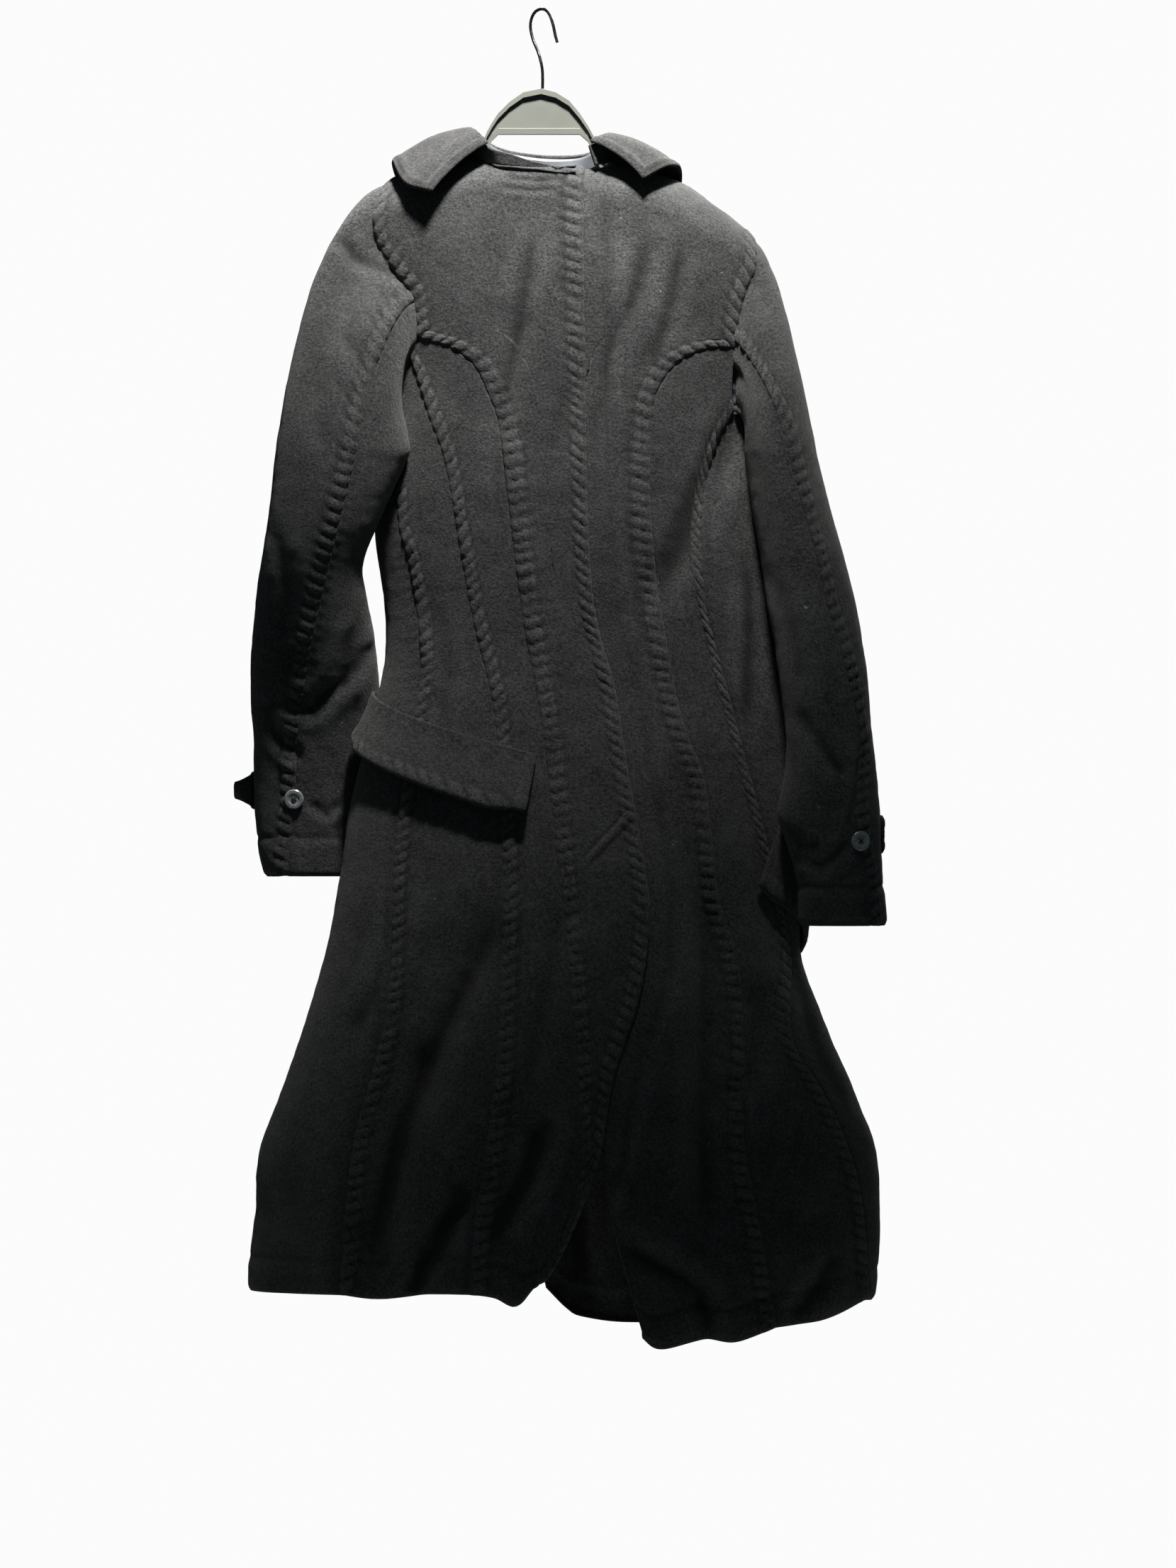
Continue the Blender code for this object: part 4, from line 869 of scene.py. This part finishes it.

# Neck facing.
# A strip of grey satin lines the back of the neck, where it shows above the front. Satin is smooth
# filament cloth with a soft shine, and here its colour is paler and darker in broad random patches.
satin, tree, shader, place = blank("grey_satin", Roughness=0.38, Sheen_Weight=0.2, Specular_IOR_Level=0.6)
weave = add(tree, "ShaderNodeTexNoise", Vector=place, Scale=1.8 * PER_MM, Detail=2.0)
satin_patches = add(tree, "ShaderNodeTexNoise", Vector=place, Scale=0.06 * PER_MM, Detail=2.0)
tone = add(tree, "ShaderNodeValToRGB", Fac=satin_patches.outputs["Fac"])
tone.color_ramp.elements[0].color = linear("#2c2e31")
tone.color_ramp.elements[1].color = linear("#606367")
tree.links.new(tone.outputs["Color"], shader.inputs["Base Color"])
bump = add(tree, "ShaderNodeBump", Height=weave.outputs["Fac"], Strength=0.3, Distance=0.0002)
tree.links.new(bump.outputs["Normal"], shader.inputs["Normal"])
facing_rows = [(nx * 0.95, ny * 0.93, nz + 5, tx * 0.95, ty * 0.915, tz - 3.2)
               for nx, ny, nz, tx, ty, tz in COLLAR_STAND[6:11]]
facing = strip(facing_rows, 8, 6, SATIN, 0, lambda point, to_edge, to_end: 0.3 * noise.noise(point / 9))
cloth("satin_neck_facing", facing, "neck_facing", thick=SATIN, material=satin)

# Lining in the rip.
# The right sleeve's seam has come undone at the underarm, and wrinkled satin shows in the gap.
patch = []
for j in range(31):
    z = -332 - 2 * j
    row = []
    for i in range(15):
        point, normal = body_point(turn_at(172 + 1.5 * i, z), z, -3.7)
        row.append(point + normal * 0.7 * math.sin(j * 0.9 + 1.3 * noise.noise(point / 8)))
    patch.append(row)
cloth("satin_armhole_lining", patch, "armhole_lining", thick=SATIN, material=satin)

# Pocket flaps.
# Two stiff flaps of doubled felt. The left one's lower edge stands away, and both have a puckered rope
# along that edge.
FLAP_LENGTH, FLAP_DEPTH, FLAP_THICK = 165, 62, 3.2


def at(x, z):
    """Turn and height of a place on the front."""
    return turn_at(x, z), z


def flap(name, edges, lifts, columns, rows, seed):
    """Flap over the panels: its top edge is sewn down and its corners are rounded."""
    (top_a, top_b), (low_a, low_b) = edges
    outside = []
    for j in range(rows + 1):
        v = j / rows
        line = []
        for i in range(columns + 1):
            u = i / columns
            turn, z = between(between(top_a, low_a, v), between(top_b, low_b, v), u)
            corner = ease((u - 0.85) / 0.15) + ease((0.12 - u) / 0.12)
            lift = lifts[0] + (lifts[1] - lifts[0]) * v ** 1.6
            raised = z + 7 * v * corner + 4 * math.sin(math.pi * u)
            point, normal = body_point(turn, raised, lift, folds=False)
            to_edge = (1 - v) * FLAP_DEPTH
            length = u * FLAP_LENGTH
            to_end = min(u, 1 - u) * FLAP_LENGTH
            rise = 0.7 * pucker(length, to_edge, seed) if to_edge < 30 else 0.0
            if v < 0.2:
                rise += 0.5 * math.cos(math.pi * v * 5) * math.cos(2 * math.pi * length / 13)
            rise += lumps(point) * ease(to_end / 8) * ease(v * 8)
            rise -= 1.2 * math.exp(-min(to_end, to_edge) / 1.8)
            line.append(point + normal * (1.6 + rise))
        outside.append(line)
    cloth(f"felt_{name}", outside, name, thick=FLAP_THICK)


flap("flap_left", ((at(-157, -655), at(-4, -714)), ((0.02, -708), at(-14, -775))), (5.6, 15), 66, 30, 41)
flap("flap_right", ((at(226, -775), (1.14, -800)), (at(203, -845), (1.1, -915))), (5.4, 6.0), 44, 28, 43)

# Cuff tabs.
# A short strap over the back of each cuff. The left one's rounded end stands free past the edge.
TAB_HALF_WIDTH, TAB_THICK = 17.0, 2.8
TAB_ROWS, TAB_COLUMNS = 16, 44


def cuff_tab(name, table, sign, height, stand_off, reach):
    """Tab wrapped round the back of a cuff, whose last fifth runs on straight."""
    outer_x, inner_x, mid_y, depth, _ = read_table(table)(height)
    middle, half = (outer_x + inner_x) / 2, abs(outer_x - inner_x) / 2
    columns = []
    for i in range(TAB_COLUMNS + 1):
        share = i / TAB_COLUMNS
        angle = math.pi * (1.55 + 0.4 * min(share, 0.8) / 0.8)
        out = Vector((sign * math.cos(angle) / half, -math.sin(angle) / depth, 0)).normalized()
        base = Vector((middle + sign * half * math.cos(angle), mid_y - depth * math.sin(angle), 0))
        base += out * (HALF + 2.6 + stand_off * max(0, share - 0.55))
        if share > 0.8:
            base += Vector((sign, -0.25, 0)) * reach * (share - 0.8) / 0.2
        spread = TAB_HALF_WIDTH * (1 - 0.55 * ease((share - 0.7) / 0.3))
        column = []
        for k in range(TAB_ROWS + 1):
            v = 2 * k / TAB_ROWS - 1
            near = min((1 - abs(v)) * spread, (1 - share) * 90)
            rise = 1.4 + 0.5 * ease(near / 2) * ease((9 - near) / 3) - 0.9 * math.exp(-near / 1.2)
            point = base + Vector((0, 0, height + v * spread))
            column.append(point + out * (rise + 0.5 * lumps(point)))
        columns.append(column)
    outside = [[column[k] for column in columns] for k in range(TAB_ROWS + 1)]
    cloth(f"felt_{name}", outside, name, back=sign < 0, thick=TAB_THICK)


cuff_tab("cuff_tab_left", SLEEVE_LEFT, -1, -748, 3.0, 16)
cuff_tab("cuff_tab_right", SLEEVE_RIGHT, 1, -790, 0.0, 0)

# Cuff buttons.
# Rimmed four-hole buttons of grey, cloudy plastic, sewn on with crossed dark thread. The stitches'
# sizes are in millimetres, and the button's face lies so far above its middle.
THREAD = 0.35
STITCH_REACH, STITCH_RISE, STITCH_APART = 1.7, 0.75, 0.45
FACE = 0.825


def dress(name, material):
    """Gives one of the frame's own pieces its real material."""
    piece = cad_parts[name]
    piece.data.materials.clear()
    piece.data.materials.append(material)
    return piece


horn, tree, shader, place = blank("button_plastic", Roughness=0.3, Coat_Weight=0.25)
swirl = add(tree, "ShaderNodeTexNoise", Vector=place, Scale=0.24 * PER_MM, Detail=4.0, Distortion=2.0)
tone = add(tree, "ShaderNodeValToRGB", Fac=swirl.outputs["Fac"])
tone.color_ramp.elements[0].position = 0.3
tone.color_ramp.elements[0].color = linear("#5c5f61")
tone.color_ramp.elements[1].position = 0.75
tone.color_ramp.elements[1].color = linear("#9a9b98")
tree.links.new(tone.outputs["Color"], shader.inputs["Base Color"])
scratch = add(tree, "ShaderNodeBump", Height=swirl.outputs["Fac"], Strength=0.15, Distance=0.0003)
tree.links.new(scratch.outputs["Normal"], shader.inputs["Normal"])
cotton, tree, shader, place = blank("cotton_thread", Roughness=0.8, Base_Color=linear("#1d1e20"))
twist = add(tree, "ShaderNodeTexNoise", Vector=place, Scale=2.6 * PER_MM, Detail=1.0)
bump = add(tree, "ShaderNodeBump", Height=twist.outputs["Fac"], Strength=0.5, Distance=0.0002)
tree.links.new(bump.outputs["Normal"], shader.inputs["Normal"])
for side in ("left", "right"):
    button = dress(f"cuff_button_{side}", horn).data
    middle = sum((vert.co for vert in button.vertices), Vector()) / len(button.vertices)
    underside = max(button.polygons, key=lambda face: face.area).normal
    turned = (-underside).to_track_quat("Z", "Y")
    thread_curve = bpy.data.curves.new(f"thread_{side}", "CURVE")
    thread_curve.dimensions = "3D"
    thread_curve.bevel_depth = THREAD * 0.001
    thread_curve.bevel_resolution = 2
    for lean in (-1, 1):
        for offset in (-STITCH_APART, 0.0, STITCH_APART):
            stitch = thread_curve.splines.new("POLY")
            stitch.points.add(8)
            for i in range(9):
                t = i / 4 - 1
                rise = STITCH_RISE * (1 - t ** 4) - 1.6 * max(0, abs(t) - 0.75)
                across = Vector((1, lean, 0)) * STITCH_REACH * t
                local = across + Vector((1, -lean, 0)) * offset / 2 + Vector((0, 0, FACE + rise))
                stitch.points[i].co = (*(middle + turned @ local * 0.001), 1)
    thread = into_scene(f"thread_{side}", thread_curve)
    thread_curve.materials.append(cotton)
    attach(thread, "root")

# Hanger.
# Grey moulded plastic with a raised rim, its edges slightly rounded and its faces faintly smeared,
# and a bright wire hook.
plastic, tree, shader, place = blank("moulded_plastic", Roughness=0.42)
grain = add(tree, "ShaderNodeTexNoise", Vector=place, Scale=0.9 * PER_MM, Detail=2.0)
smear = add(tree, "ShaderNodeTexNoise", Vector=place, Scale=0.025 * PER_MM, Detail=3.0)
tone = add(tree, "ShaderNodeValToRGB", Fac=smear.outputs["Fac"])
tone.color_ramp.elements[0].color = linear("#464741")
tone.color_ramp.elements[1].color = linear("#565750")
tree.links.new(tone.outputs["Color"], shader.inputs["Base Color"])
bump = add(tree, "ShaderNodeBump", Height=grain.outputs["Fac"], Strength=0.12, Distance=0.0002)
tree.links.new(bump.outputs["Normal"], shader.inputs["Normal"])
rounding = dress("hanger_body", plastic).modifiers.new("rounding", "BEVEL")
rounding.width = 0.0007
rounding.segments = 2
rounding.limit_method = "ANGLE"
rounding.angle_limit = math.radians(35)

# Chromed steel wire, drawn smooth, with faint differences in its polish.
chrome, tree, shader, place = blank("chromed_steel", Metallic=1.0, Base_Color=linear("#6c6d70"))
drawn = add(tree, "ShaderNodeTexNoise", Vector=place, Scale=0.7 * PER_MM, Detail=2.0)
spread = add(tree, "ShaderNodeMapRange", Value=drawn.outputs["Fac"], To_Min=0.08, To_Max=0.24)
tree.links.new(spread.outputs["Result"], shader.inputs["Roughness"])
dress("hanger_hook", chrome)

# Studio.
# A small strong light above the front, whose beam fades towards the hem, soft weak light from the
# left and from behind, and a round pale floor under a white surround.
FLOOR = -1.62
stage_mesh = bmesh.new()
bmesh.ops.create_circle(stage_mesh, cap_ends=True, segments=96, radius=0.9)
bmesh.ops.translate(stage_mesh, verts=stage_mesh.verts[:], vec=(0, 0, FLOOR))
stage_data = bpy.data.meshes.new("floor")
stage_mesh.to_mesh(stage_data)
stage_mesh.free()
floor = into_scene("floor", stage_data)
stage_data.materials.append(blank("pale_paint", Roughness=0.8, Base_Color=linear("#ecebe8"))[0])


def lamp(name, energy, size, place, target, spread=180):
    """Square lamp of a power and a width, aimed from its place at a target."""
    data = bpy.data.lights.new(name, "AREA")
    data.energy = energy
    data.size = size
    data.spread = math.radians(spread)
    light = into_scene(name, data)
    light.location = place
    light.rotation_euler = (Vector(target) - Vector(place)).to_track_quat("-Z", "Y").to_euler()


lamp("key", 14, 0.2, (0.12, -0.62, 1.0), (0.02, 0, 0.2), 47)
lamp("fill", 1.6, 2.5, (-2.2, -2.6, 0.4), (0, 0, -0.7))
lamp("behind", 45, 1.8, (0.6, 2.2, 0.5), (0, 0, -0.8))
world = bpy.data.worlds.new("studio")
world.use_nodes = True
tree = world.node_tree
weak = tree.nodes["Background"]
weak.inputs["Color"].default_value = (0.66, 0.9, 1, 1)
weak.inputs["Strength"].default_value = 0.065
seen = add(tree, "ShaderNodeBackground", Color=(1, 1, 1, 1), Strength=0.97)
ray = add(tree, "ShaderNodeLightPath")
both = add(tree, "ShaderNodeMixShader", Fac=ray.outputs["Is Camera Ray"])
tree.links.new(weak.outputs[0], both.inputs[1])
tree.links.new(seen.outputs[0], both.inputs[2])
tree.links.new(both.outputs[0], tree.nodes["World Output"].inputs["Surface"])
bpy.context.scene.world = world
bpy.context.scene.view_settings.view_transform = "Standard"
